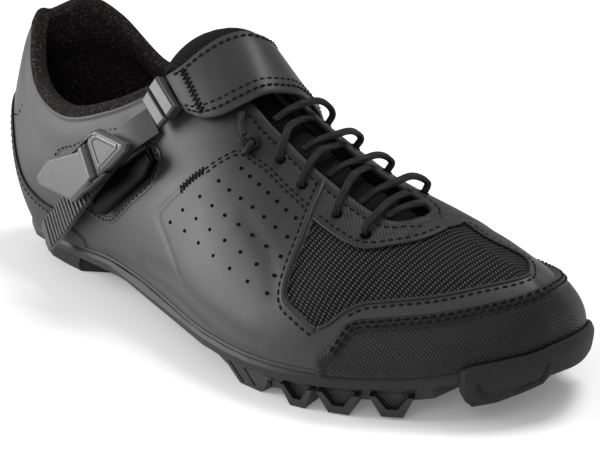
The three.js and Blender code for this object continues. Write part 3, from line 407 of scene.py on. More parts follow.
class Wire:
    """A socket of a look. Sums on it add Math nodes."""

    def __init__(self, look, socket):
        self.look, self.socket = look, socket

    def math(self, operation, *values):
        return self.look.node("Math", {"operation": operation}, dict(enumerate((self,) + values)), "Value")

    def __add__(self, other):
        return self.math("ADD", other)

    def __sub__(self, other):
        return self.math("SUBTRACT", other)

    def __mul__(self, other):
        return self.math("MULTIPLY", other)

    def __truediv__(self, other):
        return self.math("DIVIDE", other)

    def __rsub__(self, other):
        return self * -1.0 + other

    def step(self, low, high):
        """0 below low and 1 above high, with a soft slope between."""
        inputs = {"Value": self, "From Min": low, "From Max": high}
        return self.look.node("MapRange", {"interpolation_type": "SMOOTHSTEP"}, inputs, "Result")

    def above(self, other):
        return self.math("MAXIMUM", other)

    def part(self):
        return self.math("FRACT")

    def whole(self):
        return self.math("FLOOR")

    def wave(self):
        return self.math("SINE")

    def size(self):
        return self.math("ABSOLUTE")


class Look:
    """A material with one shader. Numbers that stay the same are set on the shader's own sockets."""

    def __init__(self, name, **fixed):
        self.material = bpy.data.materials.new(name)
        self.material.use_nodes = True
        self.tree = self.material.node_tree
        self.shader = self.tree.nodes["Principled BSDF"]
        self.hold(fixed)

    def hold(self, fixed):
        for key, value in fixed.items():
            self.shader.inputs[socket_name(key)].default_value = value

    def second(self, **fixed):
        """Another shader in the same look, to be mixed with the first."""
        self.shader = self.tree.nodes.new("ShaderNodeBsdfPrincipled")
        self.hold(fixed)
        return self.shader

    def node(self, kind, settings, inputs, output):
        """One node: its settings first, then values or links into its sockets, then the named output."""
        node = self.tree.nodes.new("ShaderNode" + kind)
        for key, value in settings.items():
            setattr(node, key, value)
        for key, value in inputs.items():
            if isinstance(value, Wire):
                self.tree.links.new(value.socket, node.inputs[key])
            else:
                node.inputs[key].default_value = value
        return Wire(self, node.outputs[output])

    def place(self):
        return self.node("TexCoord", {}, {}, "Object")

    def kept(self, name, vector=False):
        """A value that the mesh keeps at its points."""
        return self.node("Attribute", {"attribute_name": name}, {}, "Vector" if vector else "Fac")

    def split(self, vector):
        return [self.node("SeparateXYZ", {}, {0: vector}, axis) for axis in "XYZ"]

    def noise(self, scale, detail=2.0, rough=0.5):
        inputs = {"Vector": self.place(), "Scale": scale, "Detail": detail, "Roughness": rough}
        return self.node("TexNoise", {}, inputs, "Fac")

    def cells(self, scale):
        return self.node("TexVoronoi", {}, {"Vector": self.place(), "Scale": scale}, "Distance")

    def mix(self, share, first, second):
        """A colour between two, by a share. Numbers stand for greys."""
        pair = [grey(value) if isinstance(value, float) else value for value in (first, second)]
        return self.node("Mix", {"data_type": "RGBA"}, {0: share, 6: pair[0], 7: pair[1]}, 2)

    def dress(self, colour, roughness, height=None):
        """Feeds the shader its colour, roughness and, in millimetres, the height of its relief."""
        wires = {"base_color": colour, "roughness": roughness}
        if height:
            inputs = {"Strength": 1.0, "Distance": MM, "Height": height}
            wires["normal"] = self.node("Bump", {}, inputs, "Normal")
        for key, wire in wires.items():
            self.tree.links.new(wire.socket, self.shader.inputs[socket_name(key)])
        return self.material

    def blended(self, share, first, second):
        """Two finishes mixed by a share."""
        node = self.tree.nodes.new("ShaderNodeMixShader")
        for k, socket in enumerate((share.socket, first.outputs[0], second.outputs[0])):
            self.tree.links.new(socket, node.inputs[k])
        return node

    def shown(self, node):
        self.tree.links.new(node.outputs[0], self.tree.nodes["Material Output"].inputs["Surface"])


def socket_name(key):
    return key.replace("_", " ").title().replace("Ior", "IOR")


def grey(level, warm=0.0):
    """A grey colour, a little towards brown where warm is above 0."""
    return (level * (1 + warm), level, level * (1 - warm * 0.7), 1)


def weave(look, flat, across, along, tilt=0.0):
    """Staggered holes in a knit: the distance from the nearest hole's middle, 1 at the threads."""
    x, y, _ = look.split(flat)
    v = y / across
    u = (x + y * tilt) / along + v.whole() * 0.5
    du, dv = (u.part() - 0.5).size() * 2, (v.part() - 0.5).size() * 2
    return (du * du + dv * dv).math("SQRT")


def leather_colour(look, level, spread=0.25):
    """Leather's grey, cloudy at hand's width and mottled at a millimetre, with a few pale rubs."""
    shade = look.mix(look.noise(22, 3), level * (1 - spread), level * (1 + spread))
    shade = look.mix(look.noise(900, 2) * 0.35, shade, level * 0.55)
    return look.mix(look.noise(60, 5, rough=0.7).step(0.66, 0.8) * 0.18, shade, level * 2.2)


def leather_grain(look, depth=0.02):
    """Pebbles of about 0.8 mm with finer wrinkles between, as a height in millimetres."""
    return look.cells(1500) * depth + look.noise(2600, 3) * depth + look.noise(260, 2) * depth * 1.5


def collar_shade(level):
    """A dark grey with a little red in it."""
    return (level * 1.16, level * 0.94, level * 0.97, 1)


def upper_look():
    """Three finishes on one skin: grained leather, open mesh inside the window and napped knit on the
    collar and lining. Values kept at the points choose between them."""
    look = Look("coated_upper_leather", specular_ior_level=0.36)
    leather = look.shader
    flat, throat = look.kept("flat", vector=True), look.kept("throat")
    east, north, _ = look.split(flat)
    rib = ((east * 0.6 + north * 0.8) * (TURN / (1.25 * MM))).wave()
    # Painted shade: the kept throat value darkens the leather towards near-black along the throat and over
    # the ribbed facing, and makes it a little rougher there.
    look.dress(look.mix(throat * 0.72, leather_colour(look, 0.028, 0.12), 0.0045),
               look.noise(45, 3) * 0.12 + throat * 0.12 + 0.4,
               leather_grain(look) + rib * look.kept("facing") * 0.03)

    mesh = look.second(specular_ior_level=0.12)
    strand = look.noise(900, 2)
    dash = 1 - weave(look, flat, 1.2 * MM, 1.9 * MM, 0.75).step(0.45, 0.72)
    look.dress(look.mix(dash, 0.0008, look.mix(strand, 0.03, 0.105)), strand * 0.2 + 0.6,
               dash * 0.5 + strand * 0.1)

    knit = look.second(specular_ior_level=0.05)
    nap = look.noise(1100, 2)
    speck = look.noise(760, 3, rough=0.7).step(0.5, 0.68)
    wool = look.mix(nap, collar_shade(0.003), collar_shade(0.022))
    look.dress(look.mix(speck * 0.8, wool, collar_shade(0.08)), nap * 0.1 + 0.88, nap * 0.5 + speck * 0.3)

    window, inner = look.kept("window").step(-0.15, 0.15), look.kept("lining").step(0.35, 0.65)
    look.shown(look.blended(inner, look.blended(window, leather, mesh), knit))
    return look.material


def leather_look(name, level, gloss):
    """Smooth coated leather with a fine grain."""
    look = Look(name, specular_ior_level=0.3)
    return look.dress(leather_colour(look, level), look.noise(45, 3) * 0.14 + (gloss - 0.05),
                      leather_grain(look))


def coated_look(name, level, pitch):
    """Coated leather pressed with a fine square grid of pips."""
    look = Look(name, specular_ior_level=0.28)
    x, y, _ = look.split(look.kept("flat", vector=True))
    across, over = (x / pitch).part() - 0.5, (y / pitch).part() - 0.5
    pip = 1 - (across.size().above(over.size()) * 2).step(0.35, 0.85)
    shade = look.mix(look.noise(30, 3), level * 0.8, level * 1.25)
    return look.dress(look.mix(pip, level * 0.12, shade), look.noise(90, 3) * 0.15 + 0.42,
                      pip * 0.3 + look.noise(1800, 2) * 0.03)


def knit_look(name, level, warm=0.0):
    """Napped knit: soft loops in rows and short hairs."""
    look = Look(name, specular_ior_level=0.06)
    loops = look.cells(1 / (1.1 * MM) * 0.9)
    hair = look.noise(2400, 3)
    shade = look.mix(hair, grey(level * 0.5, warm), grey(level * 1.9, warm))
    return look.dress(look.mix(loops.step(0.2, 0.8) * 0.6, shade, grey(level * 0.3, warm)),
                      hair * 0.1 + 0.85, hair * 0.25 - loops * 0.35)


def web_look(name, level, pitch, hole):
    """Woven or knitted cloth from its own flat coordinates, with dark holes and paler threads."""
    look = Look(name, specular_ior_level=0.08)
    holes = 1 - weave(look, look.kept("flat", vector=True), pitch, pitch * 1.25).step(0.42, 0.86)
    hair = look.noise(1800, 2)
    shade = look.mix(hair, level * 0.6, level * 1.5)
    return look.dress(look.mix(holes * hole, shade, level * 0.1), hair * 0.15 + 0.75,
                      (1 - holes) * 0.3 + hair * 0.1)


def braid_look(name, level):
    """Braided cord: two crossing families of slanted threads round it."""
    look = Look(name, specular_ior_level=0.25)
    run, round_it, _ = look.split(look.kept("run", vector=True))
    along, around = run * (TURN / (1.3 * MM)), round_it * (TURN * 5)
    thread = (along + around).wave().above((along - around).wave()) * 0.5 + 0.5
    streak = (round_it * (TURN * 7) + run * (TURN / (9 * MM))).wave() * 0.5 + 0.5
    shade = look.mix(streak, level * 0.25, level * 1.7)
    return look.dress(look.mix(thread, look.mix(0.6, shade, 0.0), shade), thread * -0.1 + 0.72,
                      thread * 0.12 + streak * 0.16)


def moulded_look(name, level, gloss, metal=0.0, texture=0.02, fleck=0.3, shine=0.5):
    """Moulded plastic or metal: faint flow marks and a fine skin."""
    look = Look(name, specular_ior_level=shine, coat_roughness=0.08, metallic=metal)
    return look.dress(look.mix(look.noise(70, 3), level * (1 - fleck), level * (1 + fleck)),
                      look.noise(240, 4, rough=0.7) * 0.16 + (gloss - 0.08),
                      look.noise(1400, 3) * texture + look.noise(300, 2) * texture)


def rubber_look(name, level):
    """Sandy rubber: fine grit, with the low places between its grains darker."""
    look = Look(name, specular_ior_level=0.35)
    grit, cloud, sand = look.cells(1250), look.noise(50, 4, rough=0.6), look.noise(850, 2)
    shade = look.mix(cloud * 0.5 + sand * 0.5, level * 0.3, level * 1.9)
    return look.dress(look.mix(grit.step(0.1, 0.6) * 0.6, shade, level * 0.4), cloud * 0.15 + 0.66,
                      grit * -0.2 + sand * 0.3)


def ribbed_look(name, level):
    """Moulded sole plastic with fine slanted ribs, as on the forefoot's side."""
    look = Look(name, specular_ior_level=0.45)
    x, y, z = look.split(look.place())
    rib = ((x * 0.8 + y * 0.5 + z) * (TURN / (1.5 * MM))).wave() * 0.5 + 0.5
    flow = look.noise(60, 3)
    return look.dress(look.mix(flow, level * 0.8, level * 1.2), flow * 0.15 + 0.42,
                      rib * 0.12 + look.noise(1800, 2) * 0.03)


def thread_look(name, level):
    """Waxed sewing thread, lighter along its twist."""
    look = Look(name, specular_ior_level=0.12)
    twist = look.noise(2200, 1)
    return look.dress(look.mix(twist, level * 0.6, level * 1.5), twist * 0.2 + 0.45)


UPPER = upper_look()
LEATHER = leather_look("strap_leather", 0.027, 0.42)
TRIM = leather_look("folded_trim", 0.02, 0.45)
UPPER_TRIM = leather_look("patch_trim", 0.029, 0.42)
CAP = coated_look("toe_cap_coated_leather", 0.014, 1.2 * MM)
COUNTER = rubber_look("counter_rough_leather", 0.049)
COUNTER_BAND = rubber_look("counter_band", 0.023)
LINING = knit_look("lining_knit", 0.0046, warm=0.2)
TONGUE_CLOTH = web_look("tongue_knit", 0.0091, 1.5 * MM, 0.9)
WEBBING = web_look("pull_webbing", 0.0061, 1.2 * MM, 0.6)
LACE_LOOK = braid_look("lace_braid", 0.0084)
THREAD = thread_look("sewing_thread", 0.0019)
# Near-black for the discs at perforations and eyelets: painted shade inside the holes.
PAINTED_HOLE_SHADE = knit_look("painted_hole_shade", 0.00046)
PLATE = moulded_look("sole_plastic", 0.0061, 0.5, shine=0.35)
RIBBED = ribbed_look("ribbed_sole", 0.014)
RUBBER = rubber_look("tread_rubber", 0.011)
NYLON = moulded_look("ladder_nylon", 0.02, 0.38, texture=0.03)
LEVER = moulded_look("lever_satin", 0.057, 0.3, fleck=0.15)
CLAMP = moulded_look("clamp_satin", 0.03, 0.38, fleck=0.15)
GLOSS = moulded_look("buckle_gloss", 0.0006, 0.3, texture=0.004, shine=0.04)
STEEL = moulded_look("steel_pin", 0.091, 0.4, metal=1.0, texture=0.004, fleck=0.1)


# Laces

LACE = 2.9 * MM
EYELETS = {
    "outer_1": (7.33, 0.924), "outer_2": (7.82, 0.906), "outer_3": (8.46, 0.897), "outer_4": (9.02, 0.872),
    "inner_1": (21.27, 0.87), "inner_2": (20.66, 0.88), "inner_3": (20.03, 0.88), "inner_4": (19.43, 0.88),
}
LACE_HOLE = (6.42, 0.935)
KNOT_PLACE = (6.8, 0.868)
# Station, share up and millimetres out; then points in millimetres from the heel's back
LACE_END_HIDDEN = [
    (7.33, 0.924, -3.6), (7.1, 0.905, -4.4), (6.85, 0.9, -4.6), (6.6, 0.915, -4.2), (6.44, 0.933, -1.6),
]
LACE_END_SHOWN = [
    [152.6, -17.6, 86.9], [154.2, -18.9, 87.0], [156.3, -21, 84.9], [158.8, -23.0, 81.9],
    [160.4, -23.4, 80.4],
]
LACE_BARS = {
    "outer_1": [[175.6, -19.6, 73.9], [176.2, -20, 76.8], [174.6, -16.5, 80.2], [170.5, -10, 82.8],
        [166, -1, 82], [163.9, 4.6, 81.2], [163.4, 8.4, 79.8]],
    "outer_2": [[187.9, -20.6, 67.2], [188.4, -20.6, 70], [187.5, -16.5, 73.4], [184.7, -8, 76],
        [182, 0, 75], [179.6, 5.5, 73.8], [178.7, 9, 72.2]],
    "outer_3": [[205.9, -20.8, 60.6], [206.3, -20.8, 63.2], [204.8, -16.5, 66.4], [201, -8, 69.8],
        [197.2, 0, 69.4], [194.2, 5.5, 68.2], [192.7, 9, 66.6]],
    "outer_4": [[219.6, -20.5, 57.1], [220.3, -20.6, 59.4], [220.2, -16, 61.8], [218.5, -8, 63.9],
        [215.8, 0, 63.7], [213.5, 5.5, 62.8], [212, 9, 61.3]],
    "inner_1": [[161.3, 18.5, 76.1], [161.9, 20, 79.2], [161.8, 17.8, 83], [162.6, 12, 86.2],
        [163.5, 4, 87.2], [163, -4, 86], [162.5, -10, 83.6]],
    "inner_2": [[176.2, 18.6, 70], [177, 20, 72.4], [177.2, 17.8, 75.2], [179, 12, 77.7],
        [180.8, 4, 78.7], [179.5, -4, 77.9], [177.5, -10, 75.4]],
    "inner_3": [[192, 19.3, 63.8], [192.6, 20.6, 66.3], [192.6, 17.8, 69.2], [193.4, 12, 71.5],
        [195, 4, 72.4], [193, -4, 71.4], [190.6, -10, 68.3]],
    "inner_4": [[209.2, 20.9, 59], [209.6, 22, 61.8], [209.8, 18.2, 64.8], [210.6, 12, 67.2],
        [211.5, 4, 67.4], [209.5, -4, 65.5], [206.8, -10, 61.6]],
    "toe_bar": [[219.6, -9, 59.7], [221, -4, 61.3], [221.2, 3, 61.4], [220, 8, 60.2]],
}


def steady(path, top, start):
    """Outward directions along a path that turn no more than it bends, from a set one at its start point."""
    tangent = unit(np.gradient(path, axis=0))
    tops = np.zeros_like(path)
    for order in (range(start, len(path)), range(start, -1, -1)):
        now = top
        for k in order:
            now = unit(now - tangent[k] * (now @ tangent[k]))
            tops[k] = now
    return tops


def lace_bar(eyelet, points):
    """One pass of the lace: out of its eyelet, over the tongue and under the other edge."""
    points = np.array(points) * MM - SHIFT
    if eyelet:
        points = np.concatenate([points[:1] - surface_normal(*np.array(eyelet)) * 3.4 * MM, points])
    path, _ = spaced(drawn(points, 200), 0.7 * MM)
    tops = steady(path, unit(np.array([0.4, -0.1, 0.9])), len(path) // 2)
    return carried(path, oval(LACE / 2, LACE / 2 * 0.9, 20, 0.36), tops, 0.4)


def lace_end():
    """The lace's end: from the top outer eyelet along inside the upper, out of its hole and into a knot,
    a trefoil drawn by sines and cosines of one, two and three turns."""
    inside = [lifted(s, up, out * MM) for s, up, out in LACE_END_HIDDEN]
    points = np.concatenate([np.array(inside), np.array(LACE_END_SHOWN) * MM - SHIFT])
    path, run = spaced(drawn(points, 300), 0.7 * MM)
    for _ in range(30):
        path[1:-1] = (path[:-2] + 2 * path[1:-1] + path[2:]) / 4
    path, run = spaced(path, 0.7 * MM)
    tops = steady(path, surface_normal(6.6, 0.9), len(path) * 3 // 4)
    part = carried(path, oval(LACE / 2, LACE / 2 * 0.95, 18, 0.2), tops, 0.3)
    cord = made("lace_end_braid", part[0], part[1], LACE_LOOK, "lace", ["lace_end"], {"run": part[2]})
    t = np.linspace(0, TURN, 121)[:-1]
    loop = np.stack([np.sin(t) + 2 * np.sin(2 * t), np.cos(t) - 2 * np.cos(2 * t), -np.sin(3 * t)], -1)
    out = surface_normal(*KNOT_PLACE)
    east = unit(np.cross(UP, out))
    loop = loop * np.array([1.12, 1.12, 1.25]) * MM
    north, centre = np.cross(out, east), lifted(*KNOT_PLACE, 2.4 * MM)
    ring = centre + loop[:, :1] * east + loop[:, 1:2] * north + loop[:, 2:] * out
    knot = closed_cord("lace_knot_braid", ring, 1.4 * MM)


def closed_cord(name, ring, radius, count=14):
    """A round cord along a closed loop: circles across the loop's direction, joined all the way round."""
    tangent = unit(np.roll(ring, -1, axis=0) - np.roll(ring, 1, axis=0))
    side = unit(np.cross(tangent, unit(ring - ring.mean(0))))
    over = np.cross(side, tangent)
    angle = np.arange(count) / count * TURN
    rings = ring[:, None] + radius * (np.cos(angle)[None, :, None] * side[:, None]
                                      + np.sin(angle)[None, :, None] * over[:, None])
    run = np.repeat(np.cumsum(np.linalg.norm(ring - np.roll(ring, 1, axis=0), axis=1)), count)
    kept = np.stack([run, np.tile(angle / 2 / np.pi, len(ring)), 0 * run], -1)
    faces = grid_faces(len(ring), count, True, True)
    return made(name, rings, faces, LACE_LOOK, "lace", ["lace_knot"], {"run": kept})


lace_end()
for bar_name, bar_points in LACE_BARS.items():
    bar = lace_bar(EYELETS.get(bar_name), bar_points)
    bar_name = "lace_" + bar_name
    made(bar_name + "_braid", bar[0], bar[1], LACE_LOOK, "lace", [bar_name], {"run": bar[2]})


# The upper

# Mesh window over the toes, outer side first: places (station, share up) round its edge
WINDOW_LOW = [
    (8.24, 0.81), (8.34, 0.675), (8.4, 0.54), (8.47, 0.435), (8.6, 0.385), (8.86, 0.345), (9.28, 0.275),
    (9.44, 0.305), (9.64, 0.37), (9.9, 0.412), (10.3, 0.437), (10.8, 0.468), (12, 0.52), (12.8, 0.553),
    (14.2, 0.572), (15, 0.575), (15.6, 0.585), (15.94, 0.61), (16.04, 0.67), (16.14, 0.73), (16.32, 0.775),
    (16.72, 0.803), (17.24, 0.815), (17.6, 0.835),
]
WINDOW_OUTER_TOP = [
    (8.24, 0.81), (8.84, 0.8), (9.06, 0.79), (9.34, 0.775), (9.6, 0.762), (9.98, 0.767), (10.5, 0.82),
    (11.3, 0.93), (11.62, 0.965), (11.8, 1.0),
]
WINDOW_INNER_TOP = [(16.2, 1.0), (16.46, 0.965), (17.0, 0.905), (17.6, 0.835)]


def window_line():
    """The mesh window's edge as one closed line of points on the surface."""
    parts = [WINDOW_LOW[::-1], WINDOW_OUTER_TOP, WINDOW_INNER_TOP]
    places = [drawn(part, 12 * len(part)) for part in parts]
    line = np.concatenate([surface(p[:, 0], np.minimum(p[:, 1], 1)) for p in places])
    return np.concatenate([line, line[:1]])


def in_window(station, up):
    """Whether a place lies inside the mesh window: above its lower line and below its top lines."""
    edges = WINDOW_LOW, WINDOW_OUTER_TOP, WINDOW_INNER_TOP
    lines = [np.interp(station, *np.array(line).T) for line in edges]
    first, last = WINDOW_OUTER_TOP[-1][0], WINDOW_INNER_TOP[0][0]
    high = np.where(station < TOE_STATION, np.where(station > first, 1.1, lines[1]),
                    np.where(station < last, 1.1, lines[2]))
    ends = (station > WINDOW_LOW[0][0]) & (station < WINDOW_LOW[-1][0])
    return ends & (up > lines[0]) & (up < high)


# Soft troughs in the leather: places, depth and half width in millimetres
CREASES = [
    ([(5.87, 0.52), (5.6, 0.44), (5.46, 0.386), (5.57, 0.338), (5.94, 0.259), (6.31, 0.171)], 0.5, 0.9),
    ([(3.94, 0.03), (5.32, 0.055), (6.33, 0.066), (7.17, 0.047)], 0.45, 1.6),
    ([(5.2, 0.12), (6.1, 0.15), (7.2, 0.13), (8.2, 0.1)], 0.35, 3.2),
    ([(7.3, 0.62), (7.9, 0.55), (8.3, 0.4)], 0.3, 3.5),
    ([(4.4, 0.86), (4.9, 0.72), (5.3, 0.6)], 0.35, 3.0),
    ([(6.4, 0.5), (7.2, 0.36), (8.1, 0.26)], -0.15, 6.0),
    ([(21.6, 0.55), (20.9, 0.42), (20.2, 0.3)], 0.4, 3.0),
    ([(23.5, 0.5), (24.4, 0.42), (25.4, 0.3)], 0.35, 3.5),
]
THROAT_BAND = 2.1


def upper_relief(points, station, up, window, edge):
    """How far the outer leather stands out, in millimetres: the mesh lies in a step, creases press in as
    bell curves of the distance to their lines, and the throat's folded band stands proud."""
    height = -0.8 * smooth(-0.4, 0.5, window)
    for places, depth, width in CREASES:
        line = route(places, 2 * MM)[0]
        far = distance_to(points, line) / MM
        height = height - depth * np.exp(-((far / width) ** 2))
    mirrored = np.minimum(station, STATIONS - station)
    on_throat = smooth(6.3, 6.6, mirrored)
    band = 0.4 * (1 - smooth(THROAT_BAND - 0.25, THROAT_BAND + 0.25, edge))
    groove = -0.25 * np.exp(-(((edge - THROAT_BAND - 0.3) / 0.35) ** 2))
    collar = 0.45 * (1 - smooth(2.2, 3.4, edge)) * (1 - smooth(5.6, 6.2, mirrored))
    puff = 0.7 * np.exp(-(((edge - 8) / 7) ** 2)) * (1 - smooth(3.5, 5.5, mirrored))
    return height + (band + groove) * on_throat * (mirrored < 11.8) + collar + puff


def upper():
    """The shell: each column of the grid runs up the outside, round the top edge in a half circle and
    down the lining. Columns on the ridge over the toes meet their mirrored ones instead."""
    columns, rows, lining_rows, round_rows = 560, 92, 34, 7
    station = np.arange(columns) / columns * STATIONS
    mirrored = np.minimum(station, STATIONS - station)
    up = np.linspace(0, 1, rows)
    outer_s, outer_up = np.meshgrid(station, up, indexing="ij")
    bare = surface(outer_s, outer_up)
    normal = surface_normal(outer_s, outer_up)
    # On the ridge both sides share one direction
    twin = (columns - np.arange(columns)) % columns
    ridge = mirrored >= THROAT_END
    normal[ridge, -1] = unit(normal[ridge, -1] + normal[twin[ridge], -1])
    window = distance_to(bare, window_line()) / MM * np.where(in_window(outer_s, outer_up), 1, -1)
    throat_end = THROAT_END * columns // STATIONS
    seam = columns - throat_end
    top_line = surface(np.append(station, 0), np.ones(columns + 1))
    throat = np.concatenate([top_line[seam:], top_line[1:throat_end + 1]])
    edge = distance_to(bare, throat[::2]) / MM
    outer = bare + normal * upper_relief(bare, outer_s, outer_up, window, edge)[..., None] * MM
    outer[ridge, -1] = (outer[ridge, -1] + outer[twin[ridge], -1]) / 2

    inner_s, inner_v = np.meshgrid(station, np.linspace(1, 0, lining_rows), indexing="ij")
    padded = (1 - smooth(4.5, 6.2, np.minimum(inner_s, STATIONS - inner_s))) * smooth(0.7, 0.9, inner_v)
    thick = WALL + (COLLAR_PAD - WALL) * padded
    soft = 0.5 * MM * np.sin(inner_s * 2.6) * np.sin(inner_v * 9) * padded
    lining_normal = surface_normal(inner_s, inner_v)
    lining_normal[ridge, 0] = unit(lining_normal[ridge, 0] + lining_normal[twin[ridge], 0])
    lining = surface(inner_s, inner_v) - lining_normal * (thick + soft)[..., None]
    lining[ridge, 0] = (lining[ridge, 0] + lining[twin[ridge], 0]) / 2

    start, end = outer[:, -1:], lining[:, :1]
    centre, arm = (start + end) / 2, (start - end) / 2
    rise = unit(outer[:, -1:] - outer[:, -3:-2])
    rise = unit(rise - arm * (rise * arm).sum(-1, keepdims=True) / (arm * arm).sum(-1, keepdims=True))
    steps = (np.arange(1, round_rows + 1) / (round_rows + 1))[None]
    turn = (steps * np.pi)[..., None]
    crown = centre + arm * np.cos(turn) + rise * np.linalg.norm(arm, axis=-1, keepdims=True) * np.sin(turn)
    points = np.concatenate([outer, crown, lining], axis=1)
    width = points.shape[1]
    lining_start = rows + round_rows

    number = np.arange(columns * width).reshape(columns, width)
    share = ridge & (station > TOE_STATION)
    for row in (rows - 1, lining_start):
        number[share, row] = number[twin[share], row]
    number[seam, rows:lining_start] = number[twin[seam], rows:lining_start]
    i, j = np.arange(columns)[:, None], np.arange(width)[None, :]
    next_i, next_j = (i + 1) % columns, (j + 1) % width
    cells = np.stack([number[i, j], number[next_i, j], number[next_i, next_j], number[i, next_j]], -1)
    closed = (ridge & ridge[(np.arange(columns) + 1) % columns])[:, None]
    cells = cells[~(closed & (j >= rows - 1) & (j < lining_start))]
    used, compact = np.unique(cells, return_inverse=True)

    def laid(outside, round_top, inside):
        """A value on the whole grid: up the outside, round the top and down the lining."""
        grid = np.zeros((columns, width) + np.shape(outside)[2:])
        grid[:, :rows], grid[:, rows:lining_start], grid[:, lining_start:] = outside, round_top, inside
        return grid.reshape((columns * width,) + grid.shape[2:])[used]

    on_collar = (1 - smooth(5.9, 6.1, mirrored))[:, None]
    flat = cloth(outer_s, outer_up)
    facing = smooth(8.2, 8.3, mirrored)[:, None] * (1 - smooth(11.6, 11.9, mirrored))[:, None]
    facing = facing * smooth(0.5, 0.6, up)
    # Painted shade along the throat: this share, with the facing's, is kept as the throat value that darkens
    # the leather's colour.
    throat = (smooth(5.0, 6.4, mirrored) * (1 - smooth(11.9, 12.4, mirrored)))[:, None]
    values = {
        "facing": laid(facing, 0, 0),
        "throat": laid(np.maximum(facing, throat * smooth(0.6, 0.96, up)), throat * (1 - on_collar), 0),
        "flat": laid(flat, flat[:, -1:], cloth(inner_s, inner_v)),
        "window": laid(np.clip(window, -9, 9), -9, -9),
        "lining": laid((1 - smooth(1.3, 1.8, edge)) * on_collar,
                       np.maximum(on_collar, smooth(0.6, 0.75, steps)), 1),
    }
    made("upper_shell", points.reshape(-1, 3)[used], compact.reshape(cells.shape), UPPER, "leather",
         ["upper"], values)


upper()


# Panels laid on the upper

def panel(name, first, last, top_line, finish, slot, node, columns, rows, over, bead=1.0):
    """A panel from the rim up to its top line: its outer skin bulges from the surface and turns down
    to it over the last millimetre, its inner skin lies just inside the upper."""
    station = np.linspace(first, last, columns)
    high = table_at(top_line, station, 1)
    share = np.linspace(0, 1, rows)
    s = np.repeat(station[:, None], rows, 1)
    up = high[:, None] * share[None]
    s = s % STATIONS
    bare = surface(s, up)
    rim = np.concatenate([bare[:1, ::-1].reshape(-1, 3), bare[:, -1], bare[-1, ::-1]])
    far = distance_to(bare, rim[::2]) / MM
    height = over * (0.15 + 0.85 * smooth(-0.1, 0.9, far))
    height = height + bead * 0.35 * MM * np.exp(-(((far - 2.2) / 1.3) ** 2))
    height = height - bead * 0.25 * MM * np.exp(-(((far - 4.4) / 0.5) ** 2))
    normal = surface_normal(s, up)
    outer = bare + normal * height[..., None]
    inner = bare - normal * 0.9 * MM
    ring = np.concatenate([outer, inner[:, ::-1]], axis=1)
    flat = cloth(s, up)
    kept = np.concatenate([flat, flat[:, ::-1]], axis=1).reshape(-1, 3)
    count, width = ring.shape[:2]
    faces = grid_faces(count, width, wrap_columns=True)
    k = np.arange(rows - 1)
    start = np.stack([k, k + 1, width - 2 - k, width - 1 - k], -1)
    end = start[:, ::-1] + (count - 1) * width
    return made(name, ring, [faces, start, end], finish, slot, node, {"flat": kept})


TOE_CAP_TOP = [
    (9.32, 0.1), (9.44, 0.14), (9.53, 0.16), (9.6, 0.2), (9.72, 0.29), (9.86, 0.325), (10.32, 0.35),
    (10.8, 0.375), (11.76, 0.405), (12.76, 0.43), (13.6, 0.438), (14.4, 0.44), (15.6, 0.41), (16.6, 0.39),
    (17.5, 0.36), (18.1, 0.33), (18.3, 0.28), (18.5, 0.14),
]
COUNTER_TOP = [
    (-3.4, 0.08), (-2.7, 0.215), (-2.15, 0.27), (-1.84, 0.36), (-1.4, 0.55), (-1.0, 0.62), (0, 0.66),
    (1.0, 0.62), (1.42, 0.55), (1.84, 0.36), (2.16, 0.27), (2.48, 0.225), (2.7, 0.212), (2.95, 0.17),
    (3.4, 0.08),
]
panel("toe_cap_panel", 9.34, 18.48, TOE_CAP_TOP, CAP, "coated_leather", ["toe_cap"], 420, 46, 1.5 * MM)
panel("heel_counter_panel", -3.38, 3.38, COUNTER_TOP, COUNTER, "counter", ["heel_counter"], 300, 46,
      0.7 * MM, 0.3)


def edge_trim(name, places, across, out, lift, finish):
    """A folded strip carried along places on the surface, flat side down, its sizes in millimetres."""
    points, normal, _ = route(places, 0.8 * MM, lift * MM)
    points, faces, _ = carried(points, oval(across * MM, out * MM, 14), normal)
    made(name, points, faces, finish, "leather")


COUNTER_LINE = [(s + STATIONS, u) for s, u in COUNTER_TOP[1:-1]]
VAMP_BAND = [(8.03, 0.99), (8.08, 0.93), (8.13, 0.85), (8.2, 0.76), (8.27, 0.66), (8.33, 0.54),
             (8.4, 0.435), (8.52, 0.37), (8.8, 0.325), (9.2, 0.262)]
edge_trim("vamp_band", VAMP_BAND, 1.25, 0.75, 0.1, TRIM)
edge_trim("window_top_piping", WINDOW_OUTER_TOP[:-1] + [(11.72, 0.985)], 0.6, 0.55, 0, TRIM)
edge_trim("window_low_piping", WINDOW_LOW[6:], 0.6, 0.6, 0, TRIM)
edge_trim("window_inner_piping", [(16.3, 0.985)] + WINDOW_INNER_TOP[1:], 0.6, 0.55, 0, TRIM)
RIM_SEAM = [(s, 0.006) for s in np.linspace(0.02, STATIONS - 0.02, 120)]
edge_trim("rim_seam", RIM_SEAM, 0.9, 0.7, -0.1, UPPER_TRIM)
edge_trim("counter_band", COUNTER_LINE, 1.3, 0.45, 0.6, COUNTER_BAND)


# Stitches, perforations and eyelets

def beside(places, distance):
    """Places moved across their own line by a distance in millimetres, to its left on the surface."""
    fine = drawn(np.asarray(places, float), 8 * len(places))
    s, up = fine.T
    points = surface(s, up)
    across = unit(np.cross(surface_normal(s, up), np.gradient(points, axis=0)))
    ds, du = 0.02, 0.01
    over = np.minimum(up + du, 1)
    east = (surface(s + ds, up) - points) / ds
    north = (surface(s, over) - surface(s, up - du)) / (over - up + du)[:, None]
    a, b, c = (east * east).sum(-1), (east * north).sum(-1), (north * north).sum(-1)
    move = across * distance * MM
    p, q = (move * east).sum(-1), (move * north).sum(-1)
    size = a * c - b * b
    return np.stack([s + (p * c - q * b) / size, np.clip(up + (q * a - p * b) / size, 0.001, 0.999)], -1)


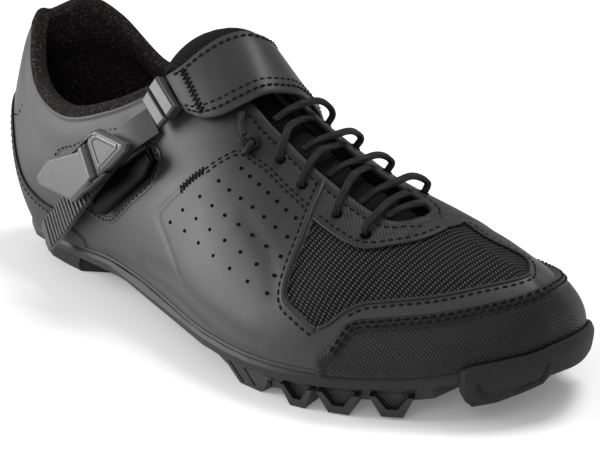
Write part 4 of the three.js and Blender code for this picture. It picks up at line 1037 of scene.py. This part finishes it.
QUARTER_STITCH = [(6.2, 0.635), (6.34, 0.695), (6.48, 0.75), (6.6, 0.795), (6.76, 0.83), (7.02, 0.848),
                  (7.26, 0.858), (7.58, 0.856), (7.9, 0.852), (8.1, 0.845)]
THROAT_OUTER = [(6.55, 0.999), (7.2, 0.999), (8, 0.999), (8.8, 0.999), (9.6, 0.999), (9.9, 0.999)]
THROAT_INNER = [(21.9, 0.999), (21.2, 0.999), (20.4, 0.999), (19.4, 0.999), (18.5, 0.999), (18.1, 0.999)]
VAMP_STITCH = [(7.97, 0.97), (8.06, 0.85), (8.2, 0.66), (8.3, 0.46), (8.45, 0.35), (8.8, 0.29),
               (9.2, 0.225)]
# The sewn patch under the buckle, round its edge
BUCKLE_PATCH = [
    (3.3, 0.76), (3.64, 0.81), (4.0, 0.845), (4.2, 0.84), (4.5, 0.775), (4.88, 0.695), (5.1, 0.665),
    (5.18, 0.61),
    (5.16, 0.54), (5.05, 0.49), (4.7, 0.4), (4.34, 0.295), (4.18, 0.268), (3.95, 0.27), (3.6, 0.32),
    (3.2, 0.42),
    (2.9, 0.54), (2.86, 0.62), (2.94, 0.7), (3.1, 0.74), (3.3, 0.76),
]
edge_trim("buckle_patch_edge", BUCKLE_PATCH, 1.5, 0.3, 0.05, UPPER_TRIM)
HEEL_SEAM = [(2.26, 0.985), (2.08, 0.94), (1.9, 0.87), (1.7, 0.755), (1.62, 0.68), (1.4, 0.62)]


def leather_stitches():
    """Every row of dark stitches on the upper, as one piece: places, distance beside them and lift."""
    rows = []
    for places, off, lift in (
        (QUARTER_STITCH, 0, 0.15), (QUARTER_STITCH, -1.7, 0.15), (THROAT_OUTER, -3.0, 0.1),
        (THROAT_INNER, 3.0, 0.1),
        (VAMP_STITCH, 0, 0.15), (WINDOW_OUTER_TOP[:-1], 2.2, 0.15), (WINDOW_LOW[8:], -1.9, 0.15),
        (TOE_CAP_TOP[2:-2], -1.5, 2.15), (TOE_CAP_TOP[2:-2], -3.2, 2.15), (COUNTER_LINE, -1.8, 0.9),
        (BUCKLE_PATCH, 0, 0.45), (HEEL_SEAM, 0, 0.15),
    ):
        rows.append(route(beside(places, off)[::2] if off else places, 0.8 * MM, lift * MM))
    made("leather_stitches", *stitched(rows), THREAD, "leather")


def bar_tack(name, points, normal, pitch):
    """A thread that crosses its line back and forth, 2.8 mm across and a pitch on at each pass."""
    both, _ = spaced(np.concatenate([points, normal * MM], axis=1), pitch)
    points, normal = both[:, :3], unit(both[:, 3:])
    across = unit(np.cross(normal, np.gradient(points, axis=0)))
    sign = np.where(np.arange(len(points)) % 2, 1, -1)[:, None]
    fine, _ = spaced(points + across * sign * 2.8 * MM / 2, 0.3 * MM)
    top = between(np.linspace(0, 1, len(fine)), np.linspace(0, 1, len(normal)), normal)
    made(name, *carried(fine, oval(0.34 * MM, 0.34 * MM, 6), unit(top))[:2], THREAD, "leather")


leather_stitches()
tack, tack_out, _ = route([(5.86, 0.515), (6.02, 0.575), (6.2, 0.635)], 0.5 * MM, 0.25 * MM)
bar_tack("quarter_bar_tack", tack, tack_out, 0.85 * MM)


def disc_shape(radius, depth, count=12):
    """A shallow dished disc with a rolled rim and a flat back, closed."""
    k = np.arange(count)
    angle = k / count * TURN
    rings = [(0.55, -depth * 0.9), (0.85, -depth * 0.2), (1.0, 0.0), (1.12, -0.3 * depth),
             (1.15, -2.2 * depth)]
    points = [np.array([[0, 0, -depth]])]
    for share, z in rings:
        ring = [np.cos(angle) * radius * share, np.sin(angle) * radius * share, 0 * angle + z]
        points.append(np.stack(ring, -1))
    points.append(np.array([[0, 0, -2.2 * depth]]))
    body = grid_faces(len(rings), count, wrap_columns=True, start=1)
    fan = np.stack([0 * k, 1 + k, 1 + (k + 1) % count], -1)
    low = 1 + (len(rings) - 1) * count
    back = np.stack([0 * k + low + count, low + (k + 1) % count, low + k], -1)
    return np.concatenate(points), [body, fan, back]


def set_in(name, places, radius, depth, lift):
    """Dark discs set into the leather at places, facing out, their sizes in millimetres; their near-black is
    painted shade inside the holes.
    """
    places = np.array(places)
    out = surface_normal(*places.T)
    shape, faces = disc_shape(radius * MM, depth * MM)
    centres = surface(*places.T) + out * (lift * MM)
    made(name, *repeated(shape, faces, centres, np.cross(out, UP), out), PAINTED_HOLE_SHADE, "leather")


PERFORATION_ROWS = [
    [(6.84, 0.765), (7.48, 0.77), (8.02, 0.76)], [(6.56, 0.65), (7.4, 0.675), (8.06, 0.665)],
    [(6.32, 0.54), (7.3, 0.575), (8.12, 0.57)], [(6.04, 0.445), (7.2, 0.48), (8.16, 0.475)],
    [(5.82, 0.37), (7.08, 0.39), (8.16, 0.38)],
]


def perforations():
    """Pinholes in rows of seven at even distances."""
    places = []
    for row in PERFORATION_ROWS:
        fine = drawn(row, 400)
        run = run_along(surface(*fine.T))
        places.append(between(np.linspace(0, run[-1], 7), run, fine))
    set_in("perforations", np.concatenate(places), 0.62, 0.1, 0.3)


perforations()
set_in("eyelets", list(EYELETS.values()), 1.75, 0.25, 0.45)
set_in("lace_end_hole", [LACE_HOLE], 1.6, 0.3, 0.42)


# Tongue, insole and heel loop

# Columns: x, height, middle y, half width, sag and thickness as shares
TONGUE_ROWS = np.array([
    [0.795, 0.53, -0.035, 0.26, 0.03, 0.5], [0.765, 0.545, -0.035, 0.32, 0.04, 0.6],
    [0.72, 0.58, -0.035, 0.4, 0.08, 0.8], [0.66, 0.64, -0.035, 0.42, 0.11, 1],
    [0.6, 0.715, -0.035, 0.42, 0.14, 1],
    [0.55, 0.79, -0.035, 0.42, 0.17, 1], [0.5, 0.89, -0.02, 0.3, 0.17, 1.1],
    [0.455, 1.02, -0.03, 0.19, 0.09, 1.2],
    [0.42, 1.075, 0.06, 0.4, 0.08, 1.2], [0.388, 1.06, 0.06, 0.44, 0.08, 1.3],
    [0.372, 1.015, 0.05, 0.38, 0.08, 0.8],
])
TONGUE = 4 * MM


def rounded_box(count, power_across, power_out):
    """Cosine and sine raised to small powers: a section with flat sides and round edges."""
    angle = np.arange(count) / count * TURN
    across, out = np.cos(angle), np.sin(angle)
    return np.sign(across) * np.abs(across) ** power_across, np.sign(out) * np.abs(out) ** power_out


def tongue():
    """Padded tongue: rows follow its length, each ring a flat pad with round edges that sags at its sides."""
    x, z, middle, half, sag, thick = drawn(TONGUE_ROWS, 130).T
    across, out = rounded_box(56, 0.75, 0.8)
    line = np.stack([x * LENGTH, 0 * x, z * INSTEP], -1)
    along = unit(np.gradient(line, axis=0))
    sink = np.stack([along[:, 2], 0 * x, -along[:, 0]], -1)
    close = smooth(0, 3, np.arange(len(x))) * smooth(0, 4, len(x) - 1 - np.arange(len(x)))
    depth = (0.5 - 0.5 * out[None]) * (thick * TONGUE * (0.25 + 0.75 * close))[:, None]
    crown = 0.6 * MM * (1 - across[None] ** 2) * (out[None] > 0) * close[:, None]
    px = line[:, None, 0] - HEEL_CENTRE + 0 * across[None]
    py = (middle[:, None] + across[None] * half[:, None]) * HALF_BALL
    pz = line[:, None, 2] - (sag[:, None] * across[None] ** 2) * INSTEP
    rings = np.stack([px, py, pz], -1) - sink[:, None] * (depth - crown)[..., None]
    points, faces = lofted(rings)
    flat = np.stack([run_along(line)[:, None] + 0 * py, py, 0 * py], -1).reshape(-1, 3)
    flat = np.concatenate([flat, flat[:1], flat[-1:]])
    piece = made("tongue_pad", points, faces, TONGUE_CLOTH, "lining", ["tongue"], {"flat": flat})


tongue()


def heel_loop():
    """A webbing loop: a flat section carried up the heel's back, standing off in the middle."""
    ups = np.array([0.56, 0.6, 0.66, 0.72, 0.76])
    offs = np.array([0.4, 2.4, 4.0, 3.2, 0.4]) * MM
    line = lifted(np.zeros(5), ups, offs)
    path = drawn(line, 60)
    along = unit(np.gradient(path, axis=0))
    top = np.cross(along, np.array([0, -1.0, 0]))
    across, out = rounded_box(28, 0.4, 0.7)
    section = np.stack([across * 6 * MM, out * 0.6 * MM + 0.6 * MM], -1)
    points, faces, kept = carried(path, section, top, 0.05)
    flat = np.stack([points[:, 2], points[:, 1], 0 * points[:, 0]], -1)
    return made("heel_loop_webbing", points, faces, WEBBING, "webbing", ["heel_loop"], {"flat": flat})


heel_loop()


# The instep strap

# Rear edge x, y, z and front edge x, y, z as shares, from the clamp over to the inner side
STRAP_ROWS = np.array([
    [0.399, -0.438, 0.95, 0.455, -0.513, 0.845], [0.418, -0.37, 0.995, 0.484, -0.5, 0.84],
    [0.434, -0.25, 1.055, 0.51, -0.45, 0.862], [0.449, -0.12, 1.098, 0.53, -0.35, 0.9],
    [0.462, 0.02, 1.112, 0.546, -0.19, 0.935], [0.468, 0.13, 1.09, 0.553, 0.01, 0.918],
    [0.458, 0.27, 1.05, 0.547, 0.17, 0.882], [0.438, 0.4, 0.985, 0.531, 0.395, 0.79],
    [0.42, 0.46, 0.9, 0.513, 0.545, 0.69], [0.405, 0.54, 0.78, 0.495, 0.665, 0.58],
    [0.398, 0.632, 0.65, 0.482, 0.745, 0.47], [0.395, 0.71, 0.5, 0.474, 0.792, 0.36],
])
STRAP = 2.4 * MM
SHARES = np.array([LENGTH, HALF_BALL, INSTEP])


def strap_at(t, share):
    """A place on the strap's outer face, straight from its rear edge to its front edge, and its way out."""
    def spot(t):
        row = curve_at(STRAP_ROWS, np.clip(t, 0, len(STRAP_ROWS) - 1))
        return row[..., :3] * SHARES, row[..., 3:] * SHARES
    rear, front = spot(t)
    ahead, behind = spot(t + 0.05), spot(t - 0.05)
    share = np.asarray(share, float)[..., None]
    along = (ahead[0] - behind[0]) * (1 - share) + (ahead[1] - behind[1]) * share
    out = unit(np.cross(front - rear, along))
    return rear * (1 - share) + front * share - SHIFT, out


def strap():
    """The strap: a flat section with round edges whose across share runs from rear to front edge."""
    t = np.linspace(0, len(STRAP_ROWS) - 1, 150)
    across, out = rounded_box(48, 0.45, 0.75)
    tt, aa = np.meshgrid(t, 0.5 + 0.5 * across, indexing="ij")
    face, normal = strap_at(tt, aa)
    crown = 0.5 * MM * (1 - across[None] ** 4)
    depth = (out[None] - 1) * STRAP / 2 + crown * (out[None] > 0)
    edge = 0.35 * MM * np.exp(-(((1 - np.abs(across[None])) / 0.1) ** 2)) * (out[None] > 0)
    rings = face + normal * (depth + edge * 0.6)[..., None]
    points, faces = lofted(rings)
    return made("instep_strap_leather", points, faces, LEATHER, "leather", ["instep_strap"])


def strap_line(share, first, last=10.6):
    """A line along the strap's outer face, lifted for stitches."""
    t = np.linspace(first, last, 160)
    points, out = strap_at(t, np.full(len(t), share))
    points = points + out * (0.55 * MM)
    return points, out, run_along(points)


strap()
strap_rows = [strap_line(0.1, 0.4), strap_line(0.9, 0.2), strap_line(0.8, 0.2)]
made("strap_stitches", *stitched(strap_rows), THREAD, "leather")
tack_share = np.linspace(0.1, 0.9, 30)
tack, tack_out = strap_at(0.95 + 0.25 * tack_share, tack_share)
bar_tack("strap_bar_tack", tack + tack_out * 0.65 * MM, tack_out, 1.05 * MM)


# Pieces whose solids have the right shape: edges rounded and finished

def refined(node, width, finish, slot, angle=32):
    """A copy of a CAD node, its doubled points merged and flat faces joined, with edges rounded by width."""
    mesh = NODES[node].data.copy()
    mesh.name = node + "_fine"
    work = bmesh.new()
    work.from_mesh(mesh)
    bmesh.ops.remove_doubles(work, verts=work.verts, dist=0.02 * MM)
    bmesh.ops.dissolve_limit(work, angle_limit=np.radians(3.0), verts=work.verts, edges=work.edges)
    work.to_mesh(mesh)
    work.free()
    for layer in [a for a in mesh.attributes if a.name.startswith("UV") or "custom_normal" in a.name]:
        mesh.attributes.remove(layer)
    mesh.polygons.foreach_set("use_smooth", np.ones(len(mesh.polygons), bool))
    piece = placed(node + "_fine", mesh, finish, [node])
    mesh.set_sharp_from_angle(angle=np.radians(angle))
    bevel = piece.modifiers.new("round edges", "BEVEL")
    bevel.width = width * MM
    bevel.segments = 2
    bevel.limit_method = "ANGLE"
    bevel.angle_limit = np.radians(angle)
    bevel.harden_normals = True
    bevel.use_clamp_overlap = True


def node_points(node):
    return np.array([v.co[:] for v in NODES[node].data.vertices])


def hinge():
    """The buckle's barrel round the lever pin, with a thin steel cheek at each end, and a raised rib round
    the front lever's face."""
    pin, lever = node_points("lever_pin"), node_points("front_lever")
    centre = (pin.min(0) + pin.max(0)) / 2
    axis = np.linalg.svd(pin - pin.mean(0))[2][0]
    out = np.linalg.svd(lever - lever.mean(0))[2][2]
    out = out * np.sign(out @ np.array([0, -1.0, 0.3]))
    axis = axis - out * (axis @ out)
    ahead = unit(np.cross(axis, out))
    middle = centre + out * 1.4 * MM
    path = middle + np.linspace(-6.6, 6.6, 40)[:, None] * MM * axis
    points, faces, _ = carried(path, oval(2.9 * MM, 2.9 * MM, 28), ahead, 0.1)
    made("buckle_barrel", points, faces, LEVER, "lever")
    cheeks = []
    for side in (-1, 1):
        path = middle + side * axis * 8.3 * MM + np.linspace(-8.0, 8.0, 30)[:, None] * MM * ahead
        cheeks.append(carried(path, oval(0.5 * MM, 2.6 * MM, 16) - np.array([0, 1.2 * MM]), out, 0.2))
    made("hinge_cheeks", *joined(cheeks), STEEL, "steel")
    height = lever @ out
    face = lever[height > height.max() - 0.05 * MM]
    spot = face.mean(0)
    corner = np.unique(np.round(face, 5), axis=0) - spot
    turn = np.arctan2(corner @ np.cross(out, ahead), corner @ ahead)
    loop = spot + corner[np.argsort(turn)] * 0.72
    path, _ = spaced(drawn(np.concatenate([loop, loop[:1]]).repeat(2, axis=0), 160), 0.4 * MM)
    points, faces, _ = carried(path, oval(1.0 * MM, 0.35 * MM, 10), out, 0.1)
    made("front_lever_rib", points, faces, LEVER, "lever")


def outline(station, out):
    """A plan point of the sole's outline, moved outwards: the outline's way along turned a quarter."""
    along = surface(station + 0.02, 0) - surface(station - 0.02, 0)
    side = unit(np.stack([along[..., 1], -along[..., 0], 0 * along[..., 0]], -1))
    here = surface(station, 0) * np.array([1, 1, 0])
    return here + side * np.asarray(out)[..., None]


# Station, the top's height over the rim and the lower edge's height, in millimetres
BUMPER_LINE = [
    (11.85, 0.4, 12.5), (11.95, 1.2, 9.6), (12.08, 1.6, 7.6), (12.5, 1.5, 9.0), (12.8, 1.4, 10.9),
    (13.1, 1.2, 12.5),
    (13.45, 1.6, 14.2), (13.62, 2.0, 16.6), (14.0, 2.3, 16.9), (14.6, 2.5, 16.6), (15.2, 2.2, 16.6),
    (15.8, 1.7, 15.8),
    (16.2, 1.2, 14.6), (16.4, 0.4, 15.2),
]
BUMPER_GROOVE = [(12.18, 0.56), (12.31, 0.28), (12.85, 0.24), (13.36, 0.2), (13.47, 0.36), (13.56, 0.55)]


def bumper():
    """The toe bumper: stations round the toe, each a closed section that laps over the rim, with round
    corners and a pressed groove on its face."""
    first, last = BUMPER_LINE[0][0], BUMPER_LINE[-1][0]
    station = np.linspace(first, last, 420)
    x = surface(station, 0)[:, 0] + HEEL_CENTRE
    rim = rim_height(x)
    top = rim + table_at(BUMPER_LINE, station, 1) * MM
    low = table_at(BUMPER_LINE, station, 2) * MM
    band, plate = rim - 5.3 * MM, rim - 6.5 * MM
    end = smooth(0, 1, np.minimum(station - first, last - station) / 0.1)
    proud = (2.4 + 1.3 * end) * MM
    one = np.ones_like(x)
    corners = [
        (1.9 * MM * one, top - 0.8 * MM), (2.1 * MM * one, top), (proud - 0.5 * MM, top),
        (proud, top - 0.6 * MM),
        (proud + 0.7 * MM, top * 0.66 + low * 0.34), (proud, low + 1.2 * MM),
        (proud - 0.7 * MM, low + 0.2 * MM),
        (proud - 2 * MM, low), (-7 * MM * one, low),
        (-7 * MM * one, np.maximum(plate - 0.7 * MM, low + 0.5 * MM)),
        (-0.4 * MM * one, np.maximum(band - 0.9 * MM, low + 0.6 * MM)),
        (1.6 * MM * one, np.maximum(band - 0.4 * MM, low + 0.7 * MM)),
        (1.6 * MM * one, rim - 2.6 * MM), (1.9 * MM * one, rim),
    ]
    ring = np.stack([np.stack(c, -1) for c in corners], 1)
    face = drawn(ring[:, :9].transpose(1, 0, 2).reshape(9, -1), 60).reshape(60, len(x), 2).transpose(1, 0,
                                                                                                     2)
    ring = np.concatenate([face, ring[:, 9:]], 1)
    points = outline(np.repeat(station[:, None], ring.shape[1], 1), ring[..., 0])
    points[..., 2] = ring[..., 1]
    groove = []
    for s, share in drawn(BUMPER_GROOVE, 160):
        k = np.argmin(np.abs(station - s))
        spot = outline(np.array(s), 0.0)
        spot[2] = low[k] * (1 - share) + top[k] * share
        groove.append(spot)
    wall = outline(np.repeat(station[:, None], ring.shape[1], 1), 0 * ring[..., 0])
    wall[..., 2] = ring[..., 1]
    far = distance_to(wall, np.array(groove)) / MM
    side = outline(station, one) - outline(station, 0 * one)
    press = 1.1 * MM * np.exp(-((far / 0.55) ** 2)) * (ring[..., 0] > 1.5 * MM)
    points = points - unit(side)[:, None] * press[..., None]
    made("toe_bumper_block", *lofted(points[:, ::-1]), RUBBER, "rubber", ["toe_bumper"])


refined("sole_plate", 0.35, PLATE, "plate", angle=28)
bumper()
hinge()
for fine_node in (
    ("heel_tread", 0.5, RUBBER, "rubber"), ("forefoot_tread", 0.35, RIBBED, "rubber"),
    ("insole", 0.5, LINING, "lining"),
    ("buckle_base", 0.5, GLOSS, "gloss"), ("rear_lever", 0.45, LEVER, "lever"),
    ("front_lever", 0.45, LEVER, "lever"),
    ("lever_pin", 0.3, STEEL, "steel"), ("ladder_strap", 0.2, NYLON, "nylon"),
    ("strap_clamp", 0.4, CLAMP, "lever"),
    ("clamp_slider", 0.4, CLAMP, "lever"),
):
    refined(*fine_node)


# Floor and light

def floor():
    """A wide pale sheet just under the sole."""
    half, low = 4.0, -0.25 * MM
    points = np.array([[-half, -half, low], [half, -half, low], [half, half, low], [-half, half, low]])
    mesh = bpy.data.meshes.new("floor")
    mesh.from_pydata(points.tolist(), [], [(0, 1, 2, 3)])
    look = Look("pale_floor", specular_ior_level=0.2)
    look.dress(look.mix(look.noise(3, 2), 0.93, 0.95), look.noise(8, 2) * 0.05 + 0.85)
    look.shader.inputs["Emission Color"].default_value = (1, 1, 1, 1)
    look.shader.inputs["Emission Strength"].default_value = 0.12
    mesh.materials.append(look.material)
    sheet = bpy.data.objects.new("floor", mesh)
    bpy.context.scene.collection.objects.link(sheet)


def soft_light(name, place, aim, size, watts):
    """A square soft box at a place, turned to its aim."""
    data = bpy.data.lights.new(name, "AREA")
    data.size = size
    data.energy = watts
    light = bpy.data.objects.new(name, data)
    back = unit(np.array(place, float) - np.array(aim, float))
    right = unit(np.cross(UP, back)) if abs(back[2]) < 0.99 else np.array([1.0, 0, 0])
    turn = Matrix([right, np.cross(back, right), back]).transposed().to_4x4()
    light.matrix_world = Matrix.Translation(place) @ turn
    bpy.context.scene.collection.objects.link(light)


def studio():
    world = bpy.data.worlds.new("studio")
    world.use_nodes = True
    world.node_tree.nodes["Background"].inputs[0].default_value = (1, 1, 1, 1)
    world.node_tree.nodes["Background"].inputs[1].default_value = 0.42
    bpy.context.scene.world = world
    middle = (0.1, 0, 0.05)
    soft_light("key_outer_side", (-1.15, -1.05, 0.5), middle, 1.1, 30)
    soft_light("back_right", (0.3, 0.6, 1.55), middle, 0.7, 15.5)
    soft_light("front_left", (0.9, -1.3, 1.0), middle, 1.0, 6)
    bpy.context.scene.view_settings.view_transform = "Standard"


floor()
studio()
